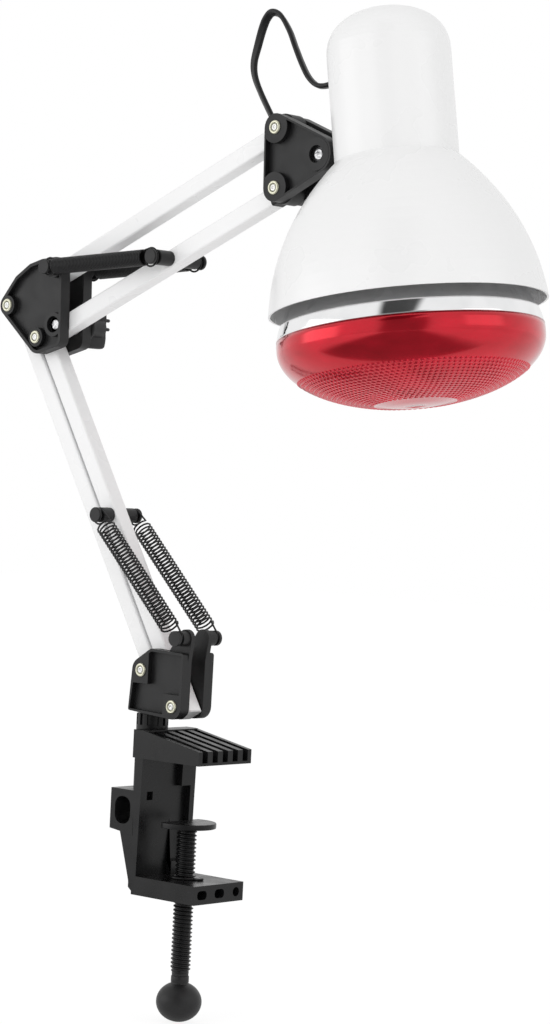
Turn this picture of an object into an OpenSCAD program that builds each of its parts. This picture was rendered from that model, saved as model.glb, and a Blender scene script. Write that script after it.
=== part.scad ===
// Infrared heat therapy lamp: a spring-balanced swing-arm lamp on a screw clamp, with a red
// reflector bulb in a white shade.
// Frame: the origin is on the upper jaw's gripping face, on the axis of the clamp screw. +X points
// out of the clamp's mouth, which is also the way the lamp reaches. +Z is up, and the arms move in
// the XZ plane. The near side is -Y.

/* [Pose] */
// Lean of the lower arm above level, at its foot
lower_arm_angle = 121; // [80:0.5:122]
// Rise of the upper arm above level
upper_arm_angle = 24.1; // [-30:0.1:65]
// Lean of the beam out from straight down
head_lean = 9.2; // [-20:0.1:50]
// Opening between the upper jaw and the pad
clamp_opening = 30.5; // [2:0.5:50]

/* [Arms] */
// Outside width of the square arm tubes
tube_w = 9; // [7:0.5:11]
// Wall of the arm tubes
tube_wall = 0.8; // [0.6:0.1:1.2]
// Pivot to pivot length of the lower arm
lower_arm = 211.5; // [180:0.5:260]
// Pivot to pivot length of the upper arm
upper_arm = 161; // [140:0.5:200]
// Length of tube past each pivot
tube_end = 5; // [4.6:0.1:5.2]
// Step forward from the base's back pivot to its front one
base_step_x = 22; // [20:0.1:24]
// Step down from the base's back pivot to its front one
base_step_z = 16.5; // [14:0.1:18]
// Step forward from the elbow's back pivot to the upper arm's pivot
elbow_step_x = 34.4; // [33.5:0.1:38]
// Step down from the elbow's back pivot to the upper arm's pivot
elbow_step_z = 9.9; // [8:0.1:11]
// Height between the two tubes of the upper arm
tube_spacing = 29; // [27:0.5:32]
// Set-back of the upper tube's pivots behind the lower tube's
tube_setback = 1; // [0:0.1:2]

/* [Brackets] */
// Running gap between a tube and the plate beside it
side_gap = 0.4; // [0.2:0.05:0.8]
// Thickness of the bracket plates
plate_t = 6.2; // [5:0.1:7]
// Depth of the recess in a plate's outer face
recess_depth = 3; // [1:0.1:3.8]
// Rim left round a recess
rim_w = 1.8; // [1:0.1:2.4]
// Radius of the rivets' shanks
rivet_r = 2.4; // [1.5:0.1:2.6]
// Radius of the rivets' heads
rivet_head_r = 3.4; // [3:0.1:4]
// Radius of the screws at the two locking joints
stud_r = 2.5; // [2:0.1:3]
// Running clearance of a pivot in its bore
pin_clear = 0.08; // [0.02:0.01:0.1]
// Step forward from the head bracket's lower pivot to the tilt joint
tilt_step_x = 25.6; // [24:0.1:30]
// Step up from the head bracket's lower pivot to the tilt joint
tilt_step_z = 15.2; // [13:0.1:17]
// Reach of a wing of the locking knobs
wing_reach = 13; // [10:0.5:15]

/* [Clamp] */
// Height of the base's back pivot above the gripping face
pivot_height = 42.7; // [40:0.1:50]
// Distance from the swivel's axis to the clamp screw's axis
throat = 27.2; // [25:0.1:34]
// Distance from the swivel's axis forward to the base's back pivot
pivot_offset = 0.9; // [-1:0.1:3]
// Reach of the jaws past the screw's axis
jaw_reach = 23; // [18:0.5:30]
// Width of the upper jaw
jaw_w = 38; // [36:0.5:44]
// Width of the lower jaw and the spine
spine_w = 35.5; // [32:0.5:40]
// Distance between the two jaws
mouth = 58.4; // [50:0.1:70]
// Thickness of the upper jaw at its tip
jaw_tip = 6.9; // [5:0.1:9]
// Thickness of the upper jaw at its root
jaw_root = 13.9; // [11:0.1:16]
// Thickness of the lower jaw
lower_jaw_t = 9.2; // [8:0.1:12]
// Width of a groove in the upper jaw
groove_w = 3.7; // [2.5:0.1:4.5]
// Number of grooves in the upper jaw
grooves = 5; // [3:1:5]
// Radius of the clamp screw
screw_r = 5; // [4:0.1:6]
// Pitch of the clamp screw's thread
screw_pitch = 2; // [1.5:0.25:3]
// Length of the threaded part below the pad
thread_length = 72; // [66:1:90]
// Radius of the ball at the foot of the clamp screw
ball_r = 11.3; // [9:0.1:14]
// Radius of the pad
pad_r = 14.3; // [12:0.1:16]
// Thickness of the pad
pad_t = 2.7; // [2:0.1:4]
// Radius of the swivel spigot
spigot_r = 6; // [5:0.1:6.5]
// Radius of the socket round the spigot
socket_r = 8; // [7.6:0.1:9]

/* [Springs] */
// Outside diameter of the springs
spring_d = 8.5; // [7:0.1:9]
// Wire of the open springs on the lower arm
open_wire = 1.1; // [0.8:0.1:1.4]
// Wire of the closed springs on the upper arm
closed_wire = 2.1; // [1.6:0.1:2.2]
// Curls in each open spring
open_curls = 20; // [14:1:20]
// Curls in each closed spring
closed_curls = 24; // [18:1:24]
// Distance of the lower springs from the arm's middle plane
lower_spring_y = 12.9; // [12.5:0.1:14]
// Distance of the upper springs from the arm's middle plane
upper_spring_y = 15.8; // [15.6:0.1:17]
// Place of the lower springs' stud along the front tube
lower_stud_at = 107.3; // [95:0.1:115]
// Place of the upper springs' stud along the lower tube
upper_stud_at = 81.4; // [75:0.1:90]
// Step forward from the base's back pivot to the spring ears
ear_x = 25.6; // [24.5:0.1:27]
// Step up from the base's back pivot to the spring ears
ear_z = 17.4; // [16:0.1:19]

/* [Head] */
// Distance from the tilt joint to the shade's axis
neck_offset = 39.5; // [39:0.1:44]
// Height of the tilt joint above the shade's rim, along its axis
joint_height = 79.6; // [77:0.1:90]
// Outside radius of the shade's neck
neck_r = 29.2; // [28.5:0.1:29.5]
// Height of the crease between neck and bowl above the rim
crease_height = 70; // [66:0.5:72]
// Height of the shade above its rim
shade_height = 142; // [136:0.5:160]
// Outside radius of the shade's rim
rim_r = 65.2; // [64.5:0.1:72]
// Wall of the shade
shade_wall = 1; // [0.8:0.1:1.4]

/* [Bulb] */
// Gap between the bulb at its widest and the shade's rim, seen from below
bulb_gap = 2.7; // [2.2:0.1:4]
// Distance of the bulb's widest place below the shade's rim
bulb_drop = 16.5; // [12:0.1:20]
// Depth of the bulb's face below its widest place
face_depth = 29.5; // [25:0.5:34]
// Length of the bulb from its cap to its face
bulb_length = 175; // [168:0.5:182]
// Wall of the bulb's glass
glass_wall = 1.2; // [1:0.1:1.6]

/* [Hidden] */

$fn = 48;
tiny = 0.01;
seat = 0.3;             // gap of a piece that rests on a curved seat
open_clear = 0.25;      // clearance at the two pivots that only follow
thread_clear = 0.08;    // gap between a thread and its nut

// Colours, as photographed
black_plastic = [0.16, 0.16, 0.17];
white_paint = [0.93, 0.93, 0.94];
rivet_metal = [0.86, 0.85, 0.76];
steel = [0.72, 0.73, 0.75];

// Places in the XZ plane
swivel = [-throat, 0];
base_back = [swivel.x + pivot_offset, pivot_height];
base_front = base_back + [base_step_x, -base_step_z];
lower_way = [cos(lower_arm_angle), sin(lower_arm_angle)];
upper_way = [cos(upper_arm_angle), sin(upper_arm_angle)];
elbow_back = base_back + lower_arm * lower_way;
elbow_front = base_front + lower_arm * lower_way;
elbow_low = elbow_back + [elbow_step_x, -elbow_step_z];
elbow_top = elbow_low + [-tube_setback, tube_spacing];
head_low = elbow_low + upper_arm * upper_way;
head_top = elbow_top + upper_arm * upper_way;
tilt = head_low + [tilt_step_x, tilt_step_z];
ear = base_back + [ear_x, ear_z];
lower_stud = base_front + lower_stud_at * lower_way;
upper_stud = elbow_low + upper_stud_at * upper_way;

// Places across the arms
gap_y = tube_w / 2 + side_gap;      // inner faces of the plates
plate_y = gap_y + plate_t;          // outer faces of the plates
tube_half = tube_w / 2;
tube_bore_w = tube_w - 2 * tube_wall;

// Studs and ears that the springs hook on
boss_r = 3.8;
ear_r = 4.5;             // round end of the ear that carries a stub
groove_r = 1.8;
groove_side = 0.25;      // room beside the hook's wire in its groove
boss_head = 1.7;

// Clamp heights
pad_top = -clamp_opening;
lower_jaw_top = -mouth;
lower_jaw_bottom = lower_jaw_top - lower_jaw_t;
wall_front = -15.5;      // front of the spine at the upper jaw
wall_foot = -16.8;       // front of the spine at the lower jaw
wall_back = -21.4;       // back of the spine at the top
wall_back_foot = -19.4;  // back of the spine at the bottom
socket_top = pivot_height - 22.1;
block_top = -16.4;
block_bottom = -36.5;
block_back = swivel.x - 9;
socket_floor = block_top + 1;

// Brackets
ear_t = 2.6;
boss_back = 18;          // reach of a rivet's square boss to the plate's edge
boss_front = 5;          // and into the recess
boss_low = 6.6;

// ---------------------------------------------------------------- shared helpers

// Moves a piece to a place in the XZ plane
module at(p) {
    translate([p.x, 0, p.y])
        children();
}

// Extrudes an outline drawn in the XZ plane from y0 to y1
module slab(y0, y1) {
    translate([0, y1, 0])
        rotate([90, 0, 0])
            linear_extrude(y1 - y0)
                children();
}

// A round bar along Y
module rod(p, r, y0, y1) {
    translate([p.x, y1, p.y])
        rotate([90, 0, 0])
            cylinder(r = r, h = y1 - y0);
}

module mirror_y() {
    mirror([0, 1, 0])
        children();
}

// Direction, in degrees, of the outward normal of the line that touches circles a and b
function touch_angle(a, b) =
    let (d = [b.x - a.x, b.y - a.y])
    atan2(d.y, d.x) - acos((a[2] - b[2]) / norm(d));

// Outline of a tight band round circles [x, z, radius], listed anticlockwise
function band(c, grow = 0, steps = 8) = [
    for (i = [0 : len(c) - 1])
        let (
            last = c[(i + len(c) - 1) % len(c)],
            here = c[i],
            next = c[(i + 1) % len(c)],
            start = touch_angle(last, here),
            sweep = (touch_angle(here, next) - start + 720) % 360,
            r = max(here[2] + grow, 0.05)
        )
        for (k = [0 : steps])
            [here.x, here.y] + r * [cos(start + sweep * k / steps), sin(start + sweep * k / steps)]
];

function circle_at(p, r) = [p.x, p.y, r];

// A rectangle with rounded corners, centred
module round_rect(w, h, r) {
    polygon(band([
        [-w / 2 + r, -h / 2 + r, r],
        [w / 2 - r, -h / 2 + r, r],
        [w / 2 - r, h / 2 - r, r],
        [-w / 2 + r, h / 2 - r, r]
    ], steps = 5));
}

// ---------------------------------------------------------------- springs

// Rings of a bent tube: each point carries a ring square to the path there
function unit(v) = v / norm(v);

function path_way(p, i) =
    i == 0 ? unit(p[1] - p[0])
    : i == len(p) - 1 ? unit(p[i] - p[i - 1])
    : unit(unit(p[i] - p[i - 1]) + unit(p[i + 1] - p[i]));

// Side directions carried along the path, so that the tube doesn't twist
function carried(p, i, side) =
    let (t = path_way(p, i))
    unit(side - (side * t) * t);

function sides_of(p, first) = [
    for (i = 0, s = carried(p, 0, first); i < len(p);
         i = i + 1, s = i < len(p) ? carried(p, i, s) : s) s
];

module tube_along(p, r, n, first_side) {
    side = sides_of(p, first_side);
    points = [
        for (i = [0 : len(p) - 1])
            let (t = path_way(p, i), u = side[i], v = cross(t, u))
            for (k = [0 : n - 1])
                p[i] + r * (cos(360 * k / n) * u + sin(360 * k / n) * v)
    ];
    walls = [
        for (i = [0 : len(p) - 2])
            for (k = [0 : n - 1])
                let (a = i * n + k, b = i * n + (k + 1) % n)
                each [[a, a + n, b], [b, a + n, b + n]]
    ];
    first_cap = [for (k = [1 : n - 2]) [0, k, k + 1]];
    last = (len(p) - 1) * n;
    last_cap = [for (k = [1 : n - 2]) [last, last + k + 1, last + k]];
    polyhedron(points = points, faces = concat(walls, first_cap, last_cap));
}

rings_per_curl = 8;
hook_steps = 4;
hook_arc = 165;          // how far a hook goes round its pin
open_hook = 7.5;         // from the last curl to the pin, on the open springs
closed_hook = 6.2;       // and on the closed ones

// Centre line of a spring along +X from 0 to its length, with a hook at each end. The hooks
// lie in the XZ plane, round pins at x = -reach and x = length + reach.
function spring_line(length, reach, r, curls, wire) =
    let (
        shift = (r - wire / 2) - groove_r - seat,
        coil = [
            for (i = [0 : curls * rings_per_curl])
                let (a = 90 + 360 * i / rings_per_curl)
                [length * i / (curls * rings_per_curl), r * cos(a), r * sin(a)]
        ],
        foot = [
            for (k = [hook_steps : -1 : 0])
                let (a = 90 + hook_arc * k / hook_steps)
                [shift - reach + r * cos(a), 0, r * sin(a)]
        ],
        head = [
            for (k = [0 : hook_steps])
                let (a = 90 - hook_arc * k / hook_steps)
                [length + reach - shift + r * cos(a), 0, r * sin(a)]
        ]
    )
    concat(foot, coil, head);

// Least gap of a wire to itself, between points at least half a curl apart
function least_gap(p, wire) = min([
    for (i = [0 : len(p) - 1])
        for (j = [i + rings_per_curl / 2 : 1 : min(i + 3 * rings_per_curl, len(p) - 1)])
            norm(p[i] - p[j]) - wire
]);

module spring_between(a, b, y, curls, wire, reach) {
    way = b - a;
    length = norm(way) - 2 * reach;
    line = spring_line(length, reach, (spring_d - wire) / 2, curls, wire);
    echo(least_gap_of_spring = least_gap(line, wire), curls = curls);
    translate([a.x, y, a.y])
        rotate([0, -atan2(way.y, way.x), 0])
            translate([reach, 0, 0])
                tube_along(line, wire / 2, 6, [0, 1, 0]);
}

// A stub that a spring hooks on: boss, groove and head, from y0 outwards to -Y
module spring_stub(p, y0, hook_y, wire) {
    half = wire / 2 + groove_side;
    rod(p, boss_r, -(hook_y - half), -y0);
    rod(p, groove_r, -(hook_y + half + tiny), -y0);
    rod(p, boss_r, -(hook_y + half + boss_head), -(hook_y + half));
}

module lower_spring(side) {
    color(black_plastic)
        spring_between(lower_stud, ear, side * lower_spring_y, open_curls, open_wire, open_hook);
}

module upper_spring(side) {
    color(black_plastic)
        spring_between(elbow_top, upper_stud, side * upper_spring_y, closed_curls, closed_wire,
            closed_hook);
}

module lower_spring_near() lower_spring(-1);
module lower_spring_far() lower_spring(1);
module upper_spring_near() upper_spring(-1);
module upper_spring_far() upper_spring(1);

// ---------------------------------------------------------------- clamp

jaw_rear = -15;          // where the upper jaw's top starts to slope
groove_floor = 1.4;
groove_pitch = 7.25;

// Side view of the spine and both jaws
module clamp_side() {
    polygon([
        [wall_back, jaw_root],
        [wall_back_foot, lower_jaw_bottom],
        [jaw_reach, lower_jaw_bottom],
        [jaw_reach, lower_jaw_top],
        [wall_foot, lower_jaw_top],
        [wall_front, 0],
        [wall_front + 3, 0],
        [wall_front + 3, jaw_root]
    ]);
}

module upper_jaw() {
    difference() {
        slab(-jaw_w / 2, jaw_w / 2)
            polygon([
                [wall_back, 0],
                [jaw_reach, 0],
                [jaw_reach, jaw_tip],
                [jaw_rear, jaw_root],
                [wall_back, jaw_root]
            ]);
        for (i = [0 : grooves - 1])
            translate([
                jaw_rear + 2,
                (i - (grooves - 1) / 2) * groove_pitch - groove_w / 2,
                groove_floor
            ])
                cube([jaw_reach - jaw_rear, groove_w, jaw_root]);
    }
}

// Socket tube behind the spine, and the block at its foot with a slot through it
module clamp_socket() {
    at([swivel.x, block_top - tiny])
        cylinder(r = socket_r, h = socket_top - block_top + tiny);
    slab(-spine_w / 2, spine_w / 2)
        polygon([
            [block_back, block_top],
            [block_back, block_bottom],
            [wall_back + 1, block_bottom - 2],
            [wall_back + 1, block_top]
        ]);
}

flutes = 12;
flute_w = 1.7;
flute_h = 5.5;
flute_depth = 0.9;

// Grooves round the top of the socket tube
module socket_flutes() {
    at([swivel.x, socket_top - flute_h])
        for (i = [0 : flutes - 1])
            rotate([0, 0, 360 * i / flutes])
                translate([socket_r - flute_depth, -flute_w / 2, 0])
                    cube([socket_r, flute_w, flute_h + 1]);
}

module side_ribs() {
    rib_t = 2.6;
    for (y = [-spine_w / 2 + 1, spine_w / 2 - 1 - rib_t])
        slab(y, y + rib_t)
            polygon([
                [block_back + 6, block_bottom],
                [wall_back_foot - 3.2, lower_jaw_top - 3],
                [wall_back_foot - 3.2, lower_jaw_top - 6],
                [wall_back_foot + 1, lower_jaw_bottom],
                [wall_back + 1.5, block_bottom]
            ]);
}

// The spine's face inside the mouth stands proud on its far half, round a slot in the shape of an L
face_rise = 3.3;
face_edge = 4;           // where the proud half starts, from the middle
slot_w = 4;
slot_foot_w = 10.5;
slot_knee = -14.5;
slot_foot = -52;

module proud_face() {
    difference() {
        slab(face_edge, spine_w / 2)
            polygon([
                [wall_foot - 1, lower_jaw_top - 1],
                [wall_foot + face_rise, lower_jaw_top - 1],
                [wall_front + face_rise, 1],
                [wall_front - 1, 1]
            ]);
        slab(face_edge - 1, face_edge + slot_w)
            face_strip(slot_knee - 1, 2);
        slab(face_edge - 1, face_edge + slot_foot_w)
            face_strip(slot_foot, slot_knee);
    }
}

// Side view of what stands proud of the spine's face between two heights
module face_strip(z0, z1) {
    slope = (wall_front - wall_foot) / mouth;
    polygon([
        [wall_front + slope * z0, z0],
        [wall_front + face_rise + 1, z0],
        [wall_front + face_rise + 1, z1],
        [wall_front + slope * z1, z1]
    ]);
}

module square_hole() {
    translate([wall_front - 3.4, -13.3, -21])
        cube([6, 4.2, 4.2]);
}

module lower_jaw_holes() {
    mid = lower_jaw_bottom + lower_jaw_t / 2;
    deep = 9;
    for (y = [-12, 0.5])
        translate([jaw_reach - deep, y, mid])
            rotate([0, 90, 0])
                linear_extrude(deep + 1)
                    round_rect(4.4, 6.8, 1.9);
    translate([jaw_reach - deep, 12.5, mid])
        rotate([0, 90, 0])
            cylinder(r = 2.3, h = deep + 1);
}

module clamp_body() {
    color(black_plastic)
        difference() {
            union() {
                slab(-spine_w / 2, spine_w / 2)
                    clamp_side();
                proud_face();
                upper_jaw();
                clamp_socket();
                side_ribs();
            }
            square_hole();
            socket_flutes();
            lower_jaw_holes();
            // socket bore for the spigot
            at([swivel.x, socket_floor])
                cylinder(r = spigot_r + pin_clear, h = socket_top - socket_floor + 1);
            // slot through the rear block
            slab(-spine_w, spine_w)
                translate([swivel.x - 0.6, (block_top + block_bottom) / 2 - 0.3])
                    round_rect(10.6, 13.6, 4.6);
            // pocket and hole for the nut and the screw
            at([0, lower_jaw_top - nut_depth])
                cylinder(r = nut_r - nut_ledge, h = nut_depth + 1);
            at([0, lower_jaw_bottom - 1])
                cylinder(r = screw_r + 0.5, h = lower_jaw_t + 2);
        }
}

nut_r = 8;               // radius of the nut's lip
nut_ledge = 1.1;         // width of the lip past the pocket
nut_depth = 5;
nut_lip = 1.2;

module clamp_nut() {
    color(black_plastic)
        difference() {
            union() {
                at([0, lower_jaw_top - nut_depth])
                    cylinder(r = nut_r - nut_ledge, h = nut_depth + tiny);
                at([0, lower_jaw_top])
                    cylinder(r = nut_r, h = nut_lip);
                translate([0, -2, lower_jaw_top])
                    cube([nut_r + 3, 4, nut_lip]);
            }
            at([0, lower_jaw_top - nut_depth - 1])
                cylinder(r = screw_r + thread_clear, h = nut_depth + nut_lip + 2);
        }
}

pad_flat = 5.4;          // from the screw's axis to the pad's flat edge
tip_r = 3;
tip_len = 1.5;
tip_play = 0.2;          // above the tip in the pad's hole
neck_r_screw = 3.9;
neck_len = 3;            // between the thread and the ball
neck_root = 8;           // how far the neck goes into the ball

module clamp_pad() {
    color(black_plastic)
        difference() {
            at([0, pad_top - pad_t])
                intersection() {
                    cylinder(r = pad_r, h = pad_t, $fn = 96);
                    translate([-pad_flat, -pad_r, 0])
                        cube([pad_r + pad_flat, 2 * pad_r, pad_t]);
                }
            at([0, pad_top - pad_t - 1])
                cylinder(r = tip_r + pin_clear, h = tip_len + 1 + tip_play);
        }
}

thread_foot = pad_top - pad_t - thread_length;
neck_foot = thread_foot - neck_len - neck_root;
ball_z = thread_foot - neck_len - ball_r;

module clamp_screw() {
    color(black_plastic)
        union() {
            at([0, thread_foot])
                cylinder(r = screw_r, h = thread_length);
            at([0, neck_foot])
                cylinder(r = neck_r_screw, h = neck_len + neck_root + tiny);
            at([0, pad_top - pad_t - tiny])
                cylinder(r = tip_r, h = tip_len);
        }
}

module clamp_ball_knob() {
    color(black_plastic)
        difference() {
            at([0, ball_z])
                sphere(r = ball_r, $fn = 64);
            at([0, neck_foot])
                cylinder(r = neck_r_screw, h = neck_root + ball_r);
        }
}

// ---------------------------------------------------------------- base bracket

base_ring = [
    circle_at(base_back + [-6.6, -19.6], 1),
    circle_at(base_front, 6.2),
    circle_at(base_back + [27, 8.8], 1.4),
    circle_at(base_back + [6.4, 9.6], 1.4),
    circle_at(base_back, 6)
];
key_depth = 2;
key_half = 6;
key_h = 8;
key_foot = base_back.y - 19.3;

module base_outline(grow = 0) {
    polygon(band(base_ring, grow));
}

module base_plate() {
    difference() {
        union() {
            slab(-plate_y, -gap_y)
                base_outline();
            // ear for the spring, on the inner side of the plate
            slab(-gap_y - ear_t, -gap_y)
                polygon(band([
                    circle_at(base_back + [16, 6], 3),
                    circle_at(base_back + [25, 4], 3),
                    circle_at(ear, ear_r)
                ]));
            spring_stub(ear, gap_y, lower_spring_y, open_wire);
        }
        // recess in the outer face, round a square boss at each rivet
        slab(-plate_y - 1, -plate_y + recess_depth)
            difference() {
                base_outline(-rim_w);
                translate([base_back.x - boss_back, base_back.y - boss_low])
                    square([boss_back + boss_front, boss_back]);
                translate([base_front.x - boss_front - 1, base_front.y - boss_back])
                    square([boss_back, boss_back + boss_front + 1]);
            }
        // seat for the spigot's key in the inner face, and room for its round part below
        slab(-gap_y - key_depth, -gap_y + 1)
            translate([swivel.x - key_half, key_foot])
                square([2 * key_half, key_h]);
        at([swivel.x, 0])
            cylinder(r = spigot_r + pin_clear, h = key_foot);
        for (p = [base_back, base_front])
            rod(p, rivet_r, -plate_y - 1, 0);
    }
}

module base_plate_near() {
    color(black_plastic)
        base_plate();
}

module base_plate_far() {
    color(black_plastic)
        mirror_y()
            base_plate();
}

module base_spigot() {
    color(black_plastic)
        union() {
            // head between the two plates, keyed into both
            translate([swivel.x - key_half, -gap_y - key_depth, key_foot])
                cube([2 * key_half, 2 * (gap_y + key_depth), key_h]);
            translate([swivel.x - key_half, -gap_y, socket_top + seat])
                cube([2 * key_half, 2 * gap_y, key_foot + key_h - socket_top - seat]);
            at([swivel.x, socket_floor + seat])
                cylinder(r = spigot_r, h = key_foot - socket_floor - seat);
        }
}

rivet_head_h = 0.9;
rivet_edge = 0.35;       // height of the head at its edge
dimple_r = 1.5;
dimple_depth = 0.5;

// A rivet with a rolled head at each end
module rivet(p, y) {
    top = y + rivet_head_h;
    difference() {
        union() {
            rod(p, rivet_r, -y - tiny, y + tiny);
            for (s = [0, 1])
                mirror([0, s, 0])
                    translate([p.x, y, p.y])
                        rotate([-90, 0, 0])
                            rotate_extrude()
                                polygon([
                                    [0, 0],
                                    [rivet_head_r, 0],
                                    [rivet_head_r, rivet_edge],
                                    [rivet_head_r - 0.7, rivet_head_h],
                                    [0, rivet_head_h]
                                ]);
        }
        for (s = [-1, 1])
            rod(p, dimple_r, s * top - dimple_depth, s * top + dimple_depth);
    }
}

module base_rivets() {
    color(rivet_metal)
        for (p = [base_back, base_front])
            rivet(p, plate_y);
}

// ---------------------------------------------------------------- arm tubes

plug_flange = 0.8;
plug_root = 3;           // how far a plug goes in past the pivot
plug_fit = 0.05;

corner_r = 1.1;          // outside corners of the tubes
bore_corner_r = corner_r - tube_wall;

// A square bar along +X from x0 to x1, with rounded edges
module bar_x(x0, x1, w, r) {
    translate([x0, 0, 0])
        rotate([90, 0, 90])
            linear_extrude(x1 - x0)
                round_rect(w, w, max(r, 0.1));
}

eye_r = 7.3;             // round end of a moulded eye
eye_back = 9;            // from the eye's pivot to the end of its tube
eye_root = 12;           // how far an eye goes into its tube

// A square tube from a to b, pivot to pivot, with its end holes. Its ends leave room for the
// plugs' flanges; an end with an eye stops short of the pivot.
module arm_tube(a, b, clear_a, clear_b, eye = false) {
    way = b - a;
    length = norm(way);
    start = -tube_end + plug_flange;
    stop = length + (eye ? -eye_back : tube_end - plug_flange);
    color(white_paint)
        at(a)
            rotate([0, -atan2(way.y, way.x), 0])
                difference() {
                    bar_x(start, stop, tube_w, corner_r);
                    bar_x(start - 1, stop + 1, tube_bore_w, bore_corner_r);
                    rod([0, 0], clear_a, -tube_w, tube_w);
                    rod([length, 0], clear_b, -tube_w, tube_w);
                    children();
                }
}

// A plug that closes one end of a tube: a flange, and a block bored for the pivot
module tube_plug(p, way, bore) {
    block_w = tube_bore_w - 2 * plug_fit;
    color(white_paint)
        at(p)
            rotate([0, -atan2(way.y, way.x), 0])
                difference() {
                    union() {
                        bar_x(tube_end - plug_flange, tube_end, tube_w, corner_r);
                        bar_x(-plug_root, tube_end - plug_flange + tiny, block_w, bore_corner_r);
                    }
                    rod([0, 0], bore, -tube_w, tube_w);
                }
}

// A moulded eye at the end of a tube: a round end for the pivot, and a root inside the tube
module tube_eye(p, way, bore) {
    root_w = tube_bore_w - 2 * plug_fit;
    at(p)
        rotate([0, -atan2(way.y, way.x), 0])
            difference() {
                union() {
                    rod([0, 0], eye_r, -tube_half, tube_half);
                    bar_x(-eye_back, 0, tube_w, corner_r);
                    bar_x(-eye_back - eye_root, -eye_back + tiny, root_w, bore_corner_r);
                }
                rod([0, 0], bore, -tube_w, tube_w);
            }
}

rivet_bore = rivet_r + pin_clear;
open_bore = rivet_r + open_clear;
stud_bore = stud_r + pin_clear;

module lower_tube_back() {
    arm_tube(base_back, elbow_back, rivet_bore, rivet_bore);
}

module lower_tube_front() {
    arm_tube(base_front, elbow_front, rivet_bore, open_bore)
        rod([lower_stud_at, 0], groove_r, -tube_w, tube_w);
}

module upper_tube_bottom() {
    arm_tube(elbow_low, head_low, stud_bore, rivet_bore, eye = true)
        rod([upper_stud_at, 0], groove_r, -tube_w, tube_w);
}

module upper_tube_top() {
    arm_tube(elbow_top, head_top, rivet_bore, open_bore, eye = true);
}

module lower_tube_back_plugs() {
    tube_plug(base_back, -lower_way, rivet_bore);
    tube_plug(elbow_back, lower_way, rivet_bore);
}

module lower_tube_front_plugs() {
    tube_plug(base_front, -lower_way, rivet_bore);
    tube_plug(elbow_front, lower_way, open_bore);
}

module upper_tube_bottom_plug() {
    tube_plug(elbow_low, -upper_way, stud_bore);
}

module upper_tube_top_plug() {
    tube_plug(elbow_top, -upper_way, rivet_bore);
}

module upper_tube_bottom_eye() {
    color(black_plastic)
        tube_eye(head_low, upper_way, rivet_bore);
}

// The top tube's eye also lets the cord out
module upper_tube_top_eye() {
    color(black_plastic)
        difference() {
            tube_eye(head_top, upper_way, open_bore);
            at(cord_exit - (cord_sunk + seat) * cord_way)
                rotate([0, -cord_lean, 0])
                    cylinder(r = cord_d / 2 + seat, h = 3 * cord_sunk);
        }
}

// A stud through a tube, grooved at both ends for the springs' hooks
module tube_stud(p, hook_y, wire) {
    color(black_plastic)
        union() {
            rod(p, groove_r, -tube_half - tiny, tube_half + tiny);
            spring_stub(p, tube_half, hook_y, wire);
            mirror_y()
                spring_stub(p, tube_half, hook_y, wire);
        }
}

module lower_spring_stud() {
    tube_stud(lower_stud, lower_spring_y, open_wire);
}

module upper_spring_stud() {
    tube_stud(upper_stud, upper_spring_y, closed_wire);
}

// ---------------------------------------------------------------- elbow

elbow_ring = [
    circle_at(elbow_front + [1.5, -1.5], 7),
    circle_at(elbow_low + [1.4, -7.2], 4.6),
    circle_at(elbow_top + [1, 1], 4.6),
    circle_at(elbow_top + [-8, -1.8], 6.5),
    circle_at(elbow_back + [17.4, 16.6], 5),
    circle_at(elbow_back + [8.6, 11], 5),
    circle_at(elbow_back, 5.4)
];
nut_across = 8;          // over the corners
nut_h = 2.4;
nut_fit = 0.08;
counterbore_r = 4.2;     // round the nut of a locking joint
counterbore = 2.2;       // its depth from the plate's outer face
nut_floor = counterbore + nut_h;

// Bore, hexagon pocket and counterbore for the nut of a locking joint
module nut_seat(p) {
    rod(p, counterbore_r, -plate_y - 1, -plate_y + counterbore);
    translate([p.x, -plate_y + nut_floor, p.y])
        rotate([90, 0, 0])
            cylinder(r = nut_across / 2 + nut_fit, h = nut_floor, $fn = 6);
}

pivot_boss_r = 5;
joint_boss_r = 6.3;      // round a locking joint

module elbow_outline(grow = 0) {
    polygon(band(elbow_ring, grow));
}

module elbow_plate(nut_side) {
    difference() {
        slab(-plate_y, -gap_y)
            elbow_outline();
        // recess in the outer face, round a boss at each pivot
        slab(-plate_y - 1, -plate_y + recess_depth)
            difference() {
                elbow_outline(-rim_w);
                for (p = [elbow_back, elbow_front, elbow_top])
                    translate(p)
                        circle(r = pivot_boss_r);
                translate(elbow_low)
                    circle(r = joint_boss_r);
            }
        if (nut_side)
            nut_seat(elbow_low);
        rod(elbow_low, stud_bore, -plate_y - 1, 0);
        for (p = [elbow_back, elbow_front, elbow_top])
            rod(p, rivet_r, -plate_y - 1, 0);
    }
}

module elbow_plate_near() {
    color(black_plastic)
        elbow_plate(true);
}

module elbow_plate_far() {
    color(black_plastic)
        mirror_y()
            elbow_plate(false);
}

module elbow_rivets() {
    color(rivet_metal)
        for (p = [elbow_back, elbow_front])
            rivet(p, plate_y);
}

// The upper tube's pivot at the elbow: a pin whose ends carry the upper springs
module elbow_spring_pin() {
    color(black_plastic)
        union() {
            rod(elbow_top, rivet_r, -plate_y - tiny, plate_y + tiny);
            spring_stub(elbow_top, plate_y, upper_spring_y, closed_wire);
            mirror_y()
                spring_stub(elbow_top, plate_y, upper_spring_y, closed_wire);
        }
}

// ---------------------------------------------------------------- locking joints

washer_t = side_gap - 0.05;
washer_r = 4.4;
washer_bore = stud_r + 0.2;
knob_gap = 0.3;
knob_hub_r = 5.5;
knob_hub_h = 9;
skirt_h = 2;
skirt_w = 1.6;
stud_root = 7;           // how far the stud goes into the knob
stud_proud = 0.3;        // and how far it shows past the nut
wing_t = 4.2;

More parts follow.
